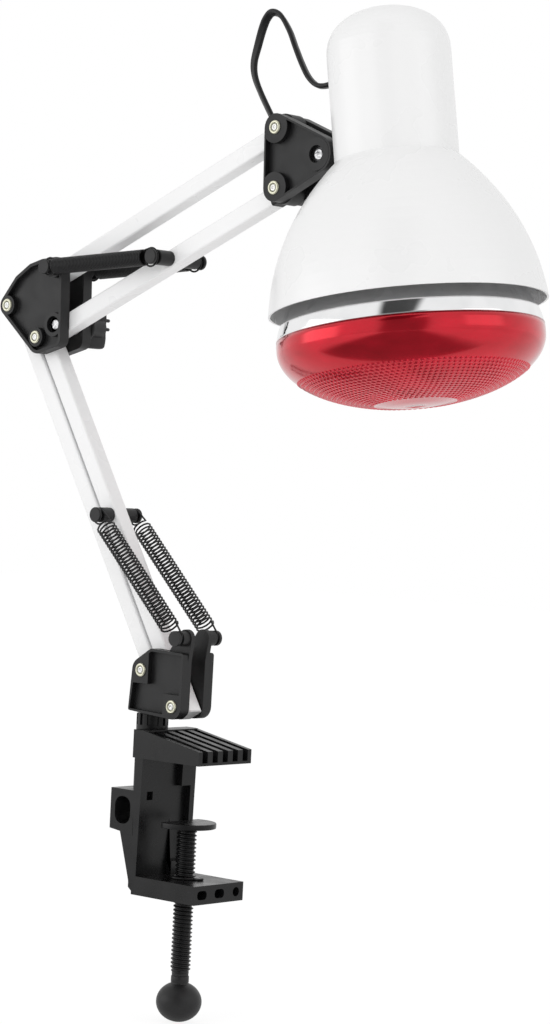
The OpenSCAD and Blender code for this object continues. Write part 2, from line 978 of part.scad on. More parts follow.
module hex_nut(p) {
    color(steel)
        difference() {
            translate([p.x, -plate_y + nut_floor, p.y])
                rotate([90, 0, 0])
                    cylinder(r = nut_across / 2, h = nut_h, $fn = 6);
            rod(p, stud_r + thread_clear, -plate_y - 1, 0);
        }
}

module knob_stud(p) {
    color(steel)
        rod(p, stud_r, -plate_y + counterbore - stud_proud, plate_y + knob_gap + stud_root);
}

// A knob with two wings that flare from its hub, and a skirt
module wing_knob(p, turn) {
    color(black_plastic)
        translate([p.x, plate_y + knob_gap, p.y])
            rotate([-90, turn, 0])
                difference() {
                    union() {
                        cylinder(r = knob_hub_r, h = knob_hub_h);
                        cylinder(r = knob_hub_r + skirt_w, h = skirt_h);
                        for (s = [0, 180])
                            rotate([0, 0, s])
                                translate([0, wing_t / 2, 0])
                                    rotate([90, 0, 0])
                                        linear_extrude(wing_t)
                                            polygon([
                                                [2, 1],
                                                [knob_hub_r + 1, 1],
                                                [wing_reach - 1.5, 5],
                                                [wing_reach, 7],
                                                [wing_reach, 13.5],
                                                [wing_reach - 2, 15],
                                                [wing_reach - 4.5, 14.5],
                                                [knob_hub_r - 1, knob_hub_h],
                                                [2, knob_hub_h]
                                            ]);
                    }
                    translate([0, 0, -1])
                        cylinder(r = stud_r, h = stud_root + 1);
                }
}

module joint_washers(p) {
    color(rivet_metal)
        for (s = [0, 1])
            mirror([0, s, 0])
                difference() {
                    rod(p, washer_r, -gap_y, -gap_y + washer_t);
                    rod(p, washer_bore, -gap_y - 1, -gap_y + 1);
                }
}

module elbow_nut() hex_nut(elbow_low);
module elbow_knob_stud() knob_stud(elbow_low);
module elbow_knob() wing_knob(elbow_low, 35);
module elbow_washers() joint_washers(elbow_low);
module tilt_nut() hex_nut(tilt);
module tilt_knob_stud() knob_stud(tilt);
module tilt_knob() wing_knob(tilt, -50);
module tilt_washers() joint_washers(tilt);

// ---------------------------------------------------------------- head bracket

tilt_round_r = 9.2;
head_ring = [
    circle_at(head_low, 6.7),
    circle_at(tilt, tilt_round_r),
    circle_at(head_top, 6.7)
];
head_boss_r = 7.6;
tilt_boss_r = 8;
head_rim = 1;

module head_plate(nut_side) {
    difference() {
        slab(-plate_y, -gap_y)
            polygon(band(head_ring));
        // recess between a boss at each rivet and one at the tilt joint
        slab(-plate_y - 1, -plate_y + recess_depth)
            difference() {
                polygon(band(head_ring, -head_rim));
                for (p = [head_low, head_top])
                    translate(p)
                        circle(r = head_boss_r);
                translate(tilt)
                    circle(r = tilt_boss_r);
            }
        if (nut_side)
            nut_seat(tilt);
        rod(tilt, stud_bore, -plate_y - 1, 0);
        for (p = [head_low, head_top])
            rod(p, rivet_r, -plate_y - 1, 0);
    }
}

module head_plate_near() {
    color(black_plastic)
        head_plate(true);
}

module head_plate_far() {
    color(black_plastic)
        mirror_y()
            head_plate(false);
}

module head_rivets() {
    color(rivet_metal)
        for (p = [head_low, head_top])
            rivet(p, plate_y);
}

// ---------------------------------------------------------------- head

// Places children in the head's own frame: its axis is Z, the rim is at z = 0 and the tilt joint
// is at x = -neck_offset, z = joint_height
module in_head() {
    at(tilt)
        rotate([0, -head_lean, 0])
            translate([neck_offset, 0, -joint_height])
                children();
}

function bezier(a, b, c, n) = [
    for (i = [0 : n])
        let (t = i / n)
        (1 - t) * (1 - t) * a + 2 * t * (1 - t) * b + t * t * c
];

// Outline of the bowl from rim to crease, as [radius, height], drawn in by the given wall
function bowl_line(inset) = bezier(
    [rim_r - inset, 0],
    [rim_r - 4.2 - inset, crease_height * 0.57],
    [neck_r - inset * 0.9, crease_height - inset * 0.6],
    14);

// Outline of the dome from the neck to the axis: a rounded shoulder and a flat crown
function dome_line(inset) = [
    for (i = [0 : 12])
        let (a = 90 * i / 12, r = neck_r - inset)
        [r * pow(cos(a), 0.85), shade_height - dome_h + (dome_h - inset) * pow(sin(a), 0.92)]
];
dome_h = 21;

function shade_line(inset) = concat(bowl_line(inset), dome_line(inset));

channel_t = 1.5;         // sheet of the bracket in the neck
channel_h = 15;
slot_clear = 0.1;
saddle_low = channel_h / 2 + 0.9;                // reach of the saddle below the joint
neck_room = shade_height - dome_h - joint_height;    // straight neck above the joint
saddle_high = 0.58 * neck_room;                  // reach of the saddle above the joint
saddle_w = 24;
saddle_r = neck_r - shade_wall - slot_clear;     // outside of the saddle
screw_rises = [0.278 * neck_room, 0.471 * neck_room];    // of the saddle's screws above the joint
small_screw_r = 1.5;
screw_head_r = 2.8;
screw_head_h = 1.6;
screw_nut_h = 1.2;
cord_z = joint_height + 0.8285 * neck_room;      // height of the cord's hole in the neck

// A bar along the head's X axis, from x0 to x1 at height z
module head_rod(x0, x1, z, r) {
    translate([x0, 0, z])
        rotate([0, 90, 0])
            cylinder(r = r, h = x1 - x0);
}

module shade() {
    slot_w = tube_w + 2 * slot_clear;
    slot_h = channel_h + 2 * slot_clear;
    color(white_paint)
        in_head()
            difference() {
                rotate_extrude($fn = 120)
                    difference() {
                        polygon(concat([[0, 0]], shade_line(0)));
                        polygon(concat(
                            [[0, -tiny], [rim_r - shade_wall, -tiny]],
                            shade_line(shade_wall)
                        ));
                    }
                // slot for the bracket
                translate([-neck_r - 2, -slot_w / 2, joint_height - slot_h / 2])
                    cube([6, slot_w, slot_h]);
                // hole for the cord's grommet
                head_rod(-neck_r - 2, -neck_r + 4, cord_z, grommet_r);
                // holes for the saddle's screws
                for (z = screw_rises)
                    head_rod(-neck_r - 2, -neck_r + 4, joint_height + z, small_screw_r);
            }
}

// Folded steel bracket: two cheeks between the plates, and a saddle against the neck's wall
module neck_bracket() {
    cheek_r = channel_h / 2;
    color(steel)
        in_head()
            difference() {
                union() {
                    intersection() {
                        translate([0, 0, joint_height - saddle_low])
                            difference() {
                                cylinder(r = saddle_r, h = saddle_low + saddle_high, $fn = 96);
                                translate([0, 0, -1])
                                    cylinder(r = saddle_r - channel_t, h = 2 * saddle_high, $fn = 96);
                            }
                        translate([-neck_r, -saddle_w / 2, joint_height - saddle_low])
                            cube([neck_r, saddle_w, saddle_low + saddle_high]);
                    }
                    for (y = [-tube_half, tube_half - channel_t])
                        translate([-neck_offset, y + channel_t, joint_height])
                            rotate([90, 0, 0]) {
                                cylinder(r = cheek_r, h = channel_t);
                                translate([0, -cheek_r, 0])
                                    cube([neck_offset - saddle_r + channel_t, channel_h, channel_t]);
                            }
                }
                translate([-neck_offset, tube_w, joint_height])
                    rotate([90, 0, 0])
                        cylinder(r = stud_bore, h = 2 * tube_w);
                for (z = screw_rises)
                    head_rod(-neck_r - 2, -neck_r + 6, joint_height + z, small_screw_r);
            }
}

module bracket_screws() {
    head_x = -saddle_r + channel_t;
    color(steel)
        in_head()
            for (z = screw_rises) {
                head_rod(-neck_r - 0.8, head_x + strap_t + 1.6, joint_height + z, small_screw_r);
                // rounded outer head, and a nut inside
                head_rod(-neck_r - screw_head_h, -neck_r, joint_height + z, screw_head_r);
                translate([strap_x + strap_t, 0, joint_height + z])
                    rotate([0, 90, 0])
                        cylinder(r = screw_head_r, h = screw_nut_h, $fn = 6);
            }
}

// ---------------------------------------------------------------- cord

cord_d = 3.4;
grommet_r = 3.2;
grommet_lip = 1.4;
lip_t = 1.2;
grommet_core = shade_wall + 0.5;    // between its two lips, on the curved wall

module cord_grommet() {
    color(black_plastic)
        in_head()
            difference() {
                union() {
                    head_rod(-neck_r - lip_t, -neck_r + grommet_core + lip_t, cord_z,
                        grommet_r - slot_clear / 2);
                    head_rod(-neck_r - lip_t, -neck_r, cord_z, grommet_r + grommet_lip);
                    head_rod(-neck_r + grommet_core, -neck_r + grommet_core + lip_t, cord_z,
                        grommet_r + grommet_lip);
                }
                head_rod(-neck_r - 3, -neck_r + 5, cord_z, cord_d / 2 + slot_clear);
            }
}

// Place in the XZ plane of a point of the head's own frame
function head_place(x, z) =
    tilt
    + (x + neck_offset) * [cos(head_lean), sin(head_lean)]
    + (z - joint_height) * [-sin(head_lean), cos(head_lean)];

// Where the cord leaves the top tube's eye, its lean back from upright there, and the depth
// of its start inside
cord_exit = head_top + [-8.2, 1];
cord_lean = 34;
cord_way = [-sin(cord_lean), cos(cord_lean)];
cord_sunk = 5;

// Route of the cord's loop, from the top pivot of the head bracket, chosen by hand
cord_loop = [
    [-13, 8], [-20, 18.5], [-24.5, 27], [-25.5, 34], [-23.5, 42], [-21, 50], [-18.5, 55],
    [-15, 57.5], [-9.5, 55.5], [-3.5, 48], [1, 39.5], [5.5, 31.5], [10, 25], [15, 21], [20, 20]
];
cord_steps = 4;          // rings between two points of the route

function route_point(p, i) = p[min(max(i, 0), len(p) - 1)];

// A smooth line through the points of a route
function smooth(p, n) = [
    for (i = [0 : len(p) - 2])
        for (k = [0 : n - 1])
            let (
                t = k / n,
                a = route_point(p, i - 1),
                b = p[i],
                c = p[i + 1],
                d = route_point(p, i + 2)
            )
            0.5 * (2 * b + (c - a) * t + (2 * a - 5 * b + 4 * c - d) * t * t
                + (3 * b - a - 3 * c + d) * t * t * t),
    p[len(p) - 1]
];

module head_cord() {
    route = concat(
        [cord_exit - cord_sunk * cord_way, cord_exit],
        [for (p = cord_loop) head_top + p],
        [head_place(-neck_r - 4, cord_z), head_place(-holder_r - 0.2, cord_z)]
    );
    line = [for (p = smooth(route, cord_steps)) [p.x, 0, p.y]];
    echo(cord_length = path_length(line), cord_rings = len(line));
    color(black_plastic)
        tube_along(line, cord_d / 2, 8, [0, 1, 0]);
}

function path_length(p) = len(p) < 2 ? 0 : total([
    for (i = [1 : len(p) - 1]) norm(p[i] - p[i - 1])
]);

function total(v) = v * [for (i = [1 : len(v)]) 1];

// ---------------------------------------------------------------- lamp holder

strap_t = 1.5;
strap_w = 14;
strap_x = -sqrt(pow(saddle_r - channel_t, 2) - pow(strap_w / 2, 2)) + 0.02;  // of its outer face
holder_r = 20;
holder_h = 29;
holder_floor = 2.6;
cap_r = 13.1;            // screw cap of the bulb
cap_clear = 0.2;
shell_t = 0.5;
strap_screw_x = 8;
apex = -bulb_drop - face_depth;
contact_z = apex + bulb_length;          // end of the bulb's centre contact
holder_top = contact_z + 4;
holder_foot = holder_top - holder_h;

// Strap from the saddle up over the lamp holder
module holder_strap() {
    top = holder_top + strap_t;
    foot = joint_height + channel_h / 2 + 0.5;
    bend = 8.5;          // length of the sloping part, along X
    rise = 10.5;         // and its height
    color(steel)
        in_head()
            difference() {
                slab(-strap_w / 2, strap_w / 2)
                    polygon([
                        [strap_x, foot],
                        [strap_x + strap_t, foot],
                        [strap_x + strap_t, top - rise - strap_t / 2],
                        [strap_x + bend + strap_t / 2, holder_top],
                        [strap_screw_x + 4, holder_top],
                        [strap_screw_x + 4, top],
                        [strap_x + bend, top],
                        [strap_x, top - rise]
                    ]);
                head_rod(-neck_r, -neck_r + 8, cord_z, grommet_r + 0.3);
                for (z = screw_rises)
                    head_rod(-neck_r, -neck_r + 8, joint_height + z, small_screw_r);
                for (x = [-strap_screw_x, strap_screw_x])
                    translate([x, 0, holder_top - 1])
                        cylinder(r = small_screw_r, h = 4);
            }
}

module strap_screws() {
    color(steel)
        in_head()
            for (x = [-strap_screw_x, strap_screw_x])
                translate([x, 0, holder_top]) {
                    translate([0, 0, -holder_floor + 0.4])
                        cylinder(r = small_screw_r, h = holder_floor + strap_t);
                    translate([0, 0, strap_t])
                        cylinder(r = screw_head_r, h = screw_head_h);
                }
}

module lamp_holder() {
    bore = cap_r + cap_clear + shell_t;
    color([0.95, 0.95, 0.93])
        in_head()
            difference() {
                translate([0, 0, holder_foot])
                    rotate_extrude($fn = 72)
                        polygon([
                            [bore, 0],
                            [holder_r - 2.5, 0],
                            [holder_r - 1.5, 1],
                            [holder_r - 1.5, holder_h * 0.35],
                            [holder_r, holder_h * 0.4],
                            [holder_r, holder_h - 10],
                            [holder_r - 6, holder_h],
                            [0, holder_h],
                            [0, holder_h - holder_floor],
                            [bore, holder_h - holder_floor]
                        ]);
                for (x = [-strap_screw_x, strap_screw_x])
                    translate([x, 0, holder_top - holder_floor - 1])
                        cylinder(r = small_screw_r, h = holder_floor + 2);
            }
}

module holder_shell() {
    color([0.83, 0.66, 0.36])
        in_head()
            translate([0, 0, holder_foot + 2])
                difference() {
                    cylinder(r = cap_r + cap_clear + shell_t, h = holder_h - holder_floor - 2);
                    translate([0, 0, -1])
                        cylinder(r = cap_r + cap_clear, h = holder_h);
                }
}

// Spring tongue that meets the bulb's centre contact
module holder_contact() {
    root = holder_top - holder_floor;
    color([0.83, 0.66, 0.36])
        in_head()
            slab(-3, 3)
                polygon([
                    [-cap_r + 1, root],
                    [-cap_r + 1, root - 0.6],
                    [-5, root - 0.6],
                    [-1.5, contact_z],
                    [2, contact_z],
                    [4, contact_z + 0.9],
                    [3.5, contact_z + 1.2],
                    [1.5, contact_z + 0.6],
                    [-1.5, contact_z + 0.6],
                    [-4.5, root]
                ]);
}

// ---------------------------------------------------------------- bulb

contact_h = 1.5;
insulator_h = 3;
cap_h = 23;
cap_top = contact_z - contact_h - insulator_h;
cap_foot = cap_top - cap_h;
bulb_r = rim_r - bulb_gap;
bulb_neck_r = 15.5;
bulb_neck_foot = cap_foot - 14;
mirror_edge = -bulb_drop + 4.5;          // where the mirror coat ends and the red face starts
mirror_r = bulb_r - 0.1;
bulb_waist = [26, 61];                   // where the mirror-coated bowl runs into the neck

// Outline of the mirror-coated part, from the edge of the red face to the neck
function reflector_line(inset) = concat(
    bezier(
        [mirror_r - inset, mirror_edge],
        [bulb_r - 2.5 - inset, 31],
        bulb_waist - [inset, inset * 0.5],
        12),
    bezier(
        bulb_waist - [inset, inset * 0.5],
        [bulb_neck_r + 1 - inset, 71],
        [bulb_neck_r - inset, bulb_neck_foot],
        6),
    [[bulb_neck_r - inset, cap_foot + 1]]
);

// Outline of the red face, from its crown to the edge of the mirror coat
function face_line(inset) = concat(
    [
        for (i = [0 : 16])
            let (a = 90 - 90 * i / 16)
            [(bulb_r - inset) * cos(a), -bulb_drop - (face_depth - inset) * sin(a)]
    ],
    [[mirror_r - inset, mirror_edge]]
);

function backwards(p) = [for (i = [len(p) - 1 : -1 : 0]) p[i]];

module turned(line, inner) {
    rotate_extrude($fn = 120)
        polygon(concat(line, backwards(inner)));
}

module bulb_reflector() {
    color([0.86, 0.87, 0.89])
        in_head()
            turned(reflector_line(0), reflector_line(glass_wall));
}

module bulb_face() {
    color([0.62, 0.03, 0.04])
        in_head()
            turned(face_line(0), face_line(glass_wall));
}

// Threaded cap: round ridges stand for the thread
module bulb_cap() {
    ridge = 0.7;
    pitch = 3.6;
    ridges = 5;
    color(steel)
        in_head()
            rotate_extrude($fn = 72)
                polygon(concat(
                    [[bulb_neck_r + 0.1, cap_foot - 2], [bulb_neck_r + 0.6, cap_foot - 2]],
                    [[bulb_neck_r + 0.6, cap_foot + 1.5], [cap_r - ridge, cap_foot + 2.5]],
                    [
                        for (i = [0 : ridges - 1])
                            let (z = cap_foot + 3.2 + i * pitch)
                            each [
                                [cap_r - ridge, z],
                                [cap_r, z + pitch * 0.3],
                                [cap_r, z + pitch * 0.6],
                                [cap_r - ridge, z + pitch * 0.9]
                            ]
                    ],
                    [[cap_r - 2, cap_top], [cap_r - 2.6, cap_top], [cap_r - 1.4, cap_foot + 3]],
                    [[bulb_neck_r + 0.1, cap_foot + 1.2]]
                ));
}

module bulb_cap_insulator() {
    color(black_plastic)
        in_head()
            translate([0, 0, cap_top]) {
                cylinder(r1 = cap_r - 2, r2 = 6, h = insulator_h);
            }
    color(steel)
        in_head()
            translate([0, 0, cap_top + insulator_h])
                cylinder(r1 = 5, r2 = 4.2, h = contact_h);
}

// Glass stem inside the neck, with a flare where it joins the neck
stem_r = 5;
stem_foot = bulb_neck_foot - 8;
filament_z = 32;
filament_ring = 13;
filament_r = 0.9;
lead_r = 0.6;

module bulb_stem() {
    color([0.9, 0.93, 0.93])
        in_head()
            rotate_extrude()
                polygon([
                    [0, stem_foot],
                    [stem_r - 1, stem_foot],
                    [stem_r, stem_foot + 4],
                    [stem_r, cap_foot - 6],
                    [bulb_neck_r - glass_wall, cap_foot + 0.5],
                    [0, cap_foot + 0.5]
                ]);
}

module filament_leads() {
    color(steel)
        in_head()
            for (s = [-1, 1]) {
                translate([s * stem_r / 2, 0, stem_foot - 6])
                    cylinder(r = lead_r, h = 6);
                tube_along([
                    [s * stem_r / 2, 0, stem_foot - 5.8],
                    [s * (filament_ring * 0.8), 0, filament_z + 8],
                    [s * filament_ring, 0, filament_z]
                ], lead_r, 8, [0, 1, 0]);
            }
}

module filament() {
    color([0.45, 0.45, 0.47])
        in_head()
            translate([0, 0, filament_z])
                rotate_extrude(angle = 360, $fn = 48)
                    translate([filament_ring + filament_r + lead_r, 0])
                        circle(r = filament_r, $fn = 16);
}

// ---------------------------------------------------------------- the lamp

clamp_body();
clamp_nut();
clamp_pad();
clamp_screw();
clamp_ball_knob();
base_spigot();
base_plate_near();
base_plate_far();
base_rivets();
lower_tube_back();
lower_tube_front();
lower_tube_back_plugs();
lower_tube_front_plugs();
lower_spring_stud();
lower_spring_near();
lower_spring_far();
elbow_plate_near();
elbow_plate_far();
elbow_rivets();
elbow_spring_pin();
elbow_knob();
elbow_knob_stud();
elbow_nut();
elbow_washers();
upper_tube_bottom();
upper_tube_top();
upper_tube_bottom_plug();
upper_tube_top_plug();
upper_tube_bottom_eye();
upper_tube_top_eye();
upper_spring_stud();
upper_spring_near();
upper_spring_far();
head_plate_near();
head_plate_far();
head_rivets();
tilt_knob();
tilt_knob_stud();
tilt_nut();
tilt_washers();
neck_bracket();
bracket_screws();
shade();
cord_grommet();
head_cord();
holder_strap();
strap_screws();
lamp_holder();
holder_shell();
holder_contact();
bulb_cap();
bulb_cap_insulator();
bulb_reflector();
bulb_face();
bulb_stem();
filament_leads();
filament();
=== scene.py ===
"""Looks of the infrared heat therapy lamp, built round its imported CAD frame.

Lengths are in millimetres and MM turns them into metres. The origin is on the upper jaw's
gripping face, +X is the way the lamp reaches, +Z is up, and the near side is -Y.
"""

import math

import bpy
import numpy as np
from mathutils import Matrix, Vector


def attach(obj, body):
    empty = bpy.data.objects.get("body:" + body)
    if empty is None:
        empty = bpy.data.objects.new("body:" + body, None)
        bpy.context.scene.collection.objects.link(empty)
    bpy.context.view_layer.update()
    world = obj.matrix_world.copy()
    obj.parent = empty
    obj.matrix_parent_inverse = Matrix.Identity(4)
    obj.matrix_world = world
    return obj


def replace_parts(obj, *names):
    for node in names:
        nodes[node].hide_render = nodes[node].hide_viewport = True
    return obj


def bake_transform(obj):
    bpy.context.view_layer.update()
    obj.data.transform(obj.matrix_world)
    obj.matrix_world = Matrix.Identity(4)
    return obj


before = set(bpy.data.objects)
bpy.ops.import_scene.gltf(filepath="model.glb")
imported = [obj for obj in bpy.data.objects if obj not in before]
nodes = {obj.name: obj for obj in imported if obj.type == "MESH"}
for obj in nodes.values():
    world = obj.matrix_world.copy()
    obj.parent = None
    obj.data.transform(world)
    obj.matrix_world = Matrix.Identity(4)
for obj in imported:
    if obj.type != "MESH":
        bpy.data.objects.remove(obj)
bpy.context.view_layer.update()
scene = bpy.context.scene

MM = 0.001


# ---------------------------------------------------------------- places, as in part.scad

def direction(degrees):
    """The way at this angle above +X, in the XZ plane."""
    turn = math.radians(degrees)
    return np.array([math.cos(turn), math.sin(turn)])


LOWER_ARM = 211.5
UPPER_ARM = 161
LOWER_WAY = direction(121)
UPPER_WAY = direction(24.1)
BASE_BACK = np.array([-26.3, 42.7])
BASE_FRONT = BASE_BACK + [22, -16.5]
ELBOW_BACK = BASE_BACK + LOWER_ARM * LOWER_WAY
ELBOW_FRONT = BASE_FRONT + LOWER_ARM * LOWER_WAY
ELBOW_LOW = ELBOW_BACK + [34.4, -9.9]
ELBOW_TOP = ELBOW_LOW + [-1, 29]
HEAD_LOW = ELBOW_LOW + UPPER_ARM * UPPER_WAY
HEAD_TOP = ELBOW_TOP + UPPER_ARM * UPPER_WAY
TILT = HEAD_LOW + [25.6, 15.2]
SPRING_EAR = BASE_BACK + [25.6, 17.4]
LOWER_STUD = BASE_FRONT + 107.3 * LOWER_WAY
UPPER_STUD = ELBOW_LOW + 81.4 * UPPER_WAY
PLATE_Y = 11.1                  # outer faces of the plates

HEAD_LEAN = 9.2
NECK_OFFSET = 39.5
JOINT_HEIGHT = 79.6
NECK_R = 29.2

# The head's own frame, with its origin in the middle of the shade's rim and Z up the shade
HEAD = (
    Matrix.Translation((TILT[0] * MM, 0, TILT[1] * MM))
    @ Matrix.Rotation(math.radians(-HEAD_LEAN), 4, "Y")
    @ Matrix.Translation((NECK_OFFSET * MM, 0, -JOINT_HEIGHT * MM))
)


def head_place(x, z):
    """A point of the head's own frame, in the XZ plane of the row frame."""
    along = direction(HEAD_LEAN)
    return TILT + (x + NECK_OFFSET) * along + (z - JOINT_HEIGHT) * np.array([-along[1], along[0]])


def spot(p, y=0):
    """A place in the XZ plane, in millimetres, as a point in metres."""
    return (p[0] * MM, y * MM, p[1] * MM)


# ---------------------------------------------------------------- camera

CAMERA_PLACE = (0.9515, -1.0278, 0.1438)
CAMERA_TURN = 41.336
CAMERA_PITCH = -0.797
CAMERA_ROLL = 2.816
FOCAL_PX = 2841.6
IMAGE_HEIGHT_PX = 1024
SENSOR_MM = 36


def camera_axes():
    """Right, up and ahead of the camera."""
    turn, pitch, roll = (math.radians(x) for x in (CAMERA_TURN, CAMERA_PITCH, CAMERA_ROLL))
    ahead = Vector((
        -math.sin(turn) * math.cos(pitch),
        math.cos(turn) * math.cos(pitch),
        math.sin(pitch),
    ))
    level = Vector((math.cos(turn), math.sin(turn), 0))
    above = level.cross(ahead)
    right = math.cos(roll) * level + math.sin(roll) * above
    up = math.cos(roll) * above - math.sin(roll) * level
    return right, up, ahead


def make_camera():
    """The camera of the photo, whose focal length is known in pixels of the image's height."""
    right, up, ahead = camera_axes()
    data = bpy.data.cameras.new("camera")
    data.sensor_width = SENSOR_MM
    data.lens = SENSOR_MM * FOCAL_PX / IMAGE_HEIGHT_PX
    data.clip_start = 0.05
    data.clip_end = 60
    camera = bpy.data.objects.new("camera", data)
    scene.collection.objects.link(camera)
    camera.matrix_world = (
        Matrix.Translation(CAMERA_PLACE) @ Matrix((right, up, -ahead)).transposed().to_4x4()
    )
    scene.camera = camera


make_camera()


# ---------------------------------------------------------------- shaders

class Finish:
    """A Principled material whose colour, roughness and relief vary with noise in the row frame."""

    def __init__(self, name, roughness, metallic=0.0, ior=1.5):
        self.material = bpy.data.materials.new(name)
        self.material.use_nodes = True
        self.tree = self.material.node_tree
        self.bsdf = self.tree.nodes["Principled BSDF"]
        self.bsdf.inputs["Roughness"].default_value = roughness
        self.bsdf.inputs["Metallic"].default_value = metallic
        self.bsdf.inputs["IOR"].default_value = ior
        self.place = self.tree.nodes.new("ShaderNodeTexCoord").outputs["Object"]
        self.last_normal = None

    def set(self, socket, value):
        self.bsdf.inputs[socket].default_value = value
        return self

    def link(self, output, socket):
        self.tree.links.new(output, self.bsdf.inputs[socket])

    def stretched(self, stretch):
        """The place, scaled along each axis, so that noise becomes streaks."""
        mapping = self.tree.nodes.new("ShaderNodeMapping")
        mapping.inputs["Scale"].default_value = stretch
        self.tree.links.new(self.place, mapping.inputs["Vector"])
        return mapping.outputs["Vector"]

    def noise(self, size_mm, detail=3.0, stretch=None):
        """Noise with features of about this size."""
        node = self.tree.nodes.new("ShaderNodeTexNoise")
        node.inputs["Scale"].default_value = 1 / (size_mm * MM)
        node.inputs["Detail"].default_value = detail
        place = self.stretched(stretch) if stretch else self.place
        self.tree.links.new(place, node.inputs["Vector"])
        return node.outputs[0]

    def spread(self, value, low, high, start=0.3, end=0.7):
        """Maps a value between start and end to one between low and high."""
        node = self.tree.nodes.new("ShaderNodeMapRange")
        node.inputs["From Min"].default_value = start
        node.inputs["From Max"].default_value = end
        node.inputs["To Min"].default_value = low
        node.inputs["To Max"].default_value = high
        self.tree.links.new(value, node.inputs["Value"])
        return node.outputs["Result"]

    def ramp(self, value, stops):
        """Colours at places from 0 to 1."""
        node = self.tree.nodes.new("ShaderNodeValToRGB")
        elements = node.color_ramp.elements
        while len(elements) < len(stops):
            elements.new(0.5)
        for element, (place, colour) in zip(elements, stops):
            element.position = place
            element.color = (*colour, 1)
        self.tree.links.new(value, node.inputs["Fac"])
        return node.outputs["Color"]

    def coloured(self, value, dark, light):
        self.link(self.ramp(value, [(0.3, dark), (0.7, light)]), "Base Color")
        return self

    def rough(self, value, low, high):
        self.link(self.spread(value, low, high), "Roughness")
        return self

    def relief(self, value, depth_mm, strength=1.0):
        """Bumps of this depth, on top of any bumps already there."""
        node = self.tree.nodes.new("ShaderNodeBump")
        node.inputs["Strength"].default_value = strength
        node.inputs["Distance"].default_value = depth_mm * MM
        self.tree.links.new(value, node.inputs["Height"])
        if self.last_normal is not None:
            self.tree.links.new(self.last_normal, node.inputs["Normal"])
        self.last_normal = node.outputs["Normal"]
        self.link(self.last_normal, "Normal")
        return self


def moulded_black(name, shade, gloss, grain_mm=0.35, roughness=(0.38, 0.52)):
    """Black moulded plastic with a fine matt grain and faint flow marks."""
    made = Finish(name, roughness[0], ior=1.46).set("Specular IOR Level", gloss)
    flow = made.noise(9, 4)
    grain = made.noise(grain_mm, 2)
    made.coloured(flow, tuple(0.82 * c for c in shade), tuple(1.2 * c for c in shade))
    made.rough(flow, *roughness)
    made.relief(flow, 0.05, 0.35)
    made.relief(grain, 0.012, 0.7)
    return made.material


def sprayed_white(name, shade, roughness=(0.24, 0.34)):
    """Powder-coated steel: an even white with a soft orange-peel surface."""
    made = Finish(name, roughness[0], ior=1.5)
    cloud = made.noise(30, 3)
    peel = made.noise(0.9, 2)
    made.coloured(cloud, tuple(0.994 * c for c in shade), shade)
    made.rough(cloud, *roughness)
    made.relief(peel, 0.005, 0.5)
    made.set("Coat Weight", 0.1)
    made.set("Coat Roughness", 0.2)
    return made.material


def brushed_metal(name, dark, light, roughness, stretch=(1, 1, 12), depth_mm=0.006):
    """Metal with fine streaks across it."""
    made = Finish(name, roughness[0], metallic=1.0)
    streak = made.noise(1.2, 3, stretch)
    speck = made.noise(0.25, 2)
    made.coloured(streak, dark, light)
    made.rough(streak, *roughness)
    made.relief(speck, 0.006, 0.5)
    made.relief(made.noise(0.9, 2), depth_mm, 0.8)
    return made.material


BLACK = moulded_black("black_plastic", (0.011, 0.011, 0.0115), 0.4)
BLACK_GLOSSY = moulded_black("black_plastic_glossy", (0.007, 0.007, 0.0074), 0.32, 0.6, (0.24, 0.36))
WHITE = sprayed_white("white_paint", (0.865, 0.865, 0.867))
SHADE_WHITE = sprayed_white("white_shade", (0.868, 0.868, 0.868))
PLUG_WHITE = moulded_black("plug_plastic", (0.62, 0.62, 0.62), 0.5, roughness=(0.35, 0.45))
RING_METAL = brushed_metal("rivet_ring", (0.6, 0.59, 0.45), (0.82, 0.81, 0.66), (0.26, 0.4))
CORE_METAL = brushed_metal("rivet_core", (0.62, 0.62, 0.6), (0.84, 0.84, 0.82), (0.18, 0.3))
STEEL = brushed_metal("steel", (0.5, 0.51, 0.52), (0.7, 0.7, 0.71), (0.22, 0.38))
DARK_STEEL = brushed_metal("dark_steel", (0.04, 0.04, 0.042), (0.09, 0.09, 0.093), (0.3, 0.45))
STUD_STEEL = brushed_metal(
    "stud_steel", (0.1, 0.1, 0.105), (0.78, 0.78, 0.79), (0.2, 0.4), (1, 1, 1), 0.25)
BRASS = brushed_metal("brass", (0.6, 0.42, 0.16), (0.83, 0.62, 0.3), (0.25, 0.4))
SPRING_WIRE = moulded_black("spring_wire", (0.008, 0.008, 0.0085), 0.4, 0.5, (0.3, 0.45))
TUNGSTEN = brushed_metal("tungsten", (0.2, 0.2, 0.21), (0.34, 0.34, 0.36), (0.35, 0.5))


def cord_finish():
    made = Finish("cord", 0.38, ior=1.5).set("Specular IOR Level", 0.35)
    smear = made.noise(6, 3)
    made.coloured(smear, (0.005, 0.005, 0.0054), (0.010, 0.010, 0.0105))
    made.rough(smear, 0.32, 0.46)
    made.relief(made.noise(0.4, 2), 0.01, 0.5)
    return made.material


def ceramic_finish():
    made = Finish("ceramic", 0.22, ior=1.52)
    cloud = made.noise(12, 3)
    made.coloured(cloud, (0.74, 0.73, 0.68), (0.84, 0.83, 0.79))
    made.rough(cloud, 0.15, 0.3)
    made.relief(made.noise(2, 2), 0.02, 0.4)
    return made.material


def mirror_finish():
    """Aluminium behind glass: bright, with faint waves."""
    made = Finish("mirror_glass", 0.09, metallic=1.0)
    wave = made.noise(14, 2)
    made.coloured(wave, (0.86, 0.865, 0.87), (0.95, 0.95, 0.955))
    made.rough(wave, 0.05, 0.11)
    made.relief(wave, 0.04, 0.25)
    return made.material


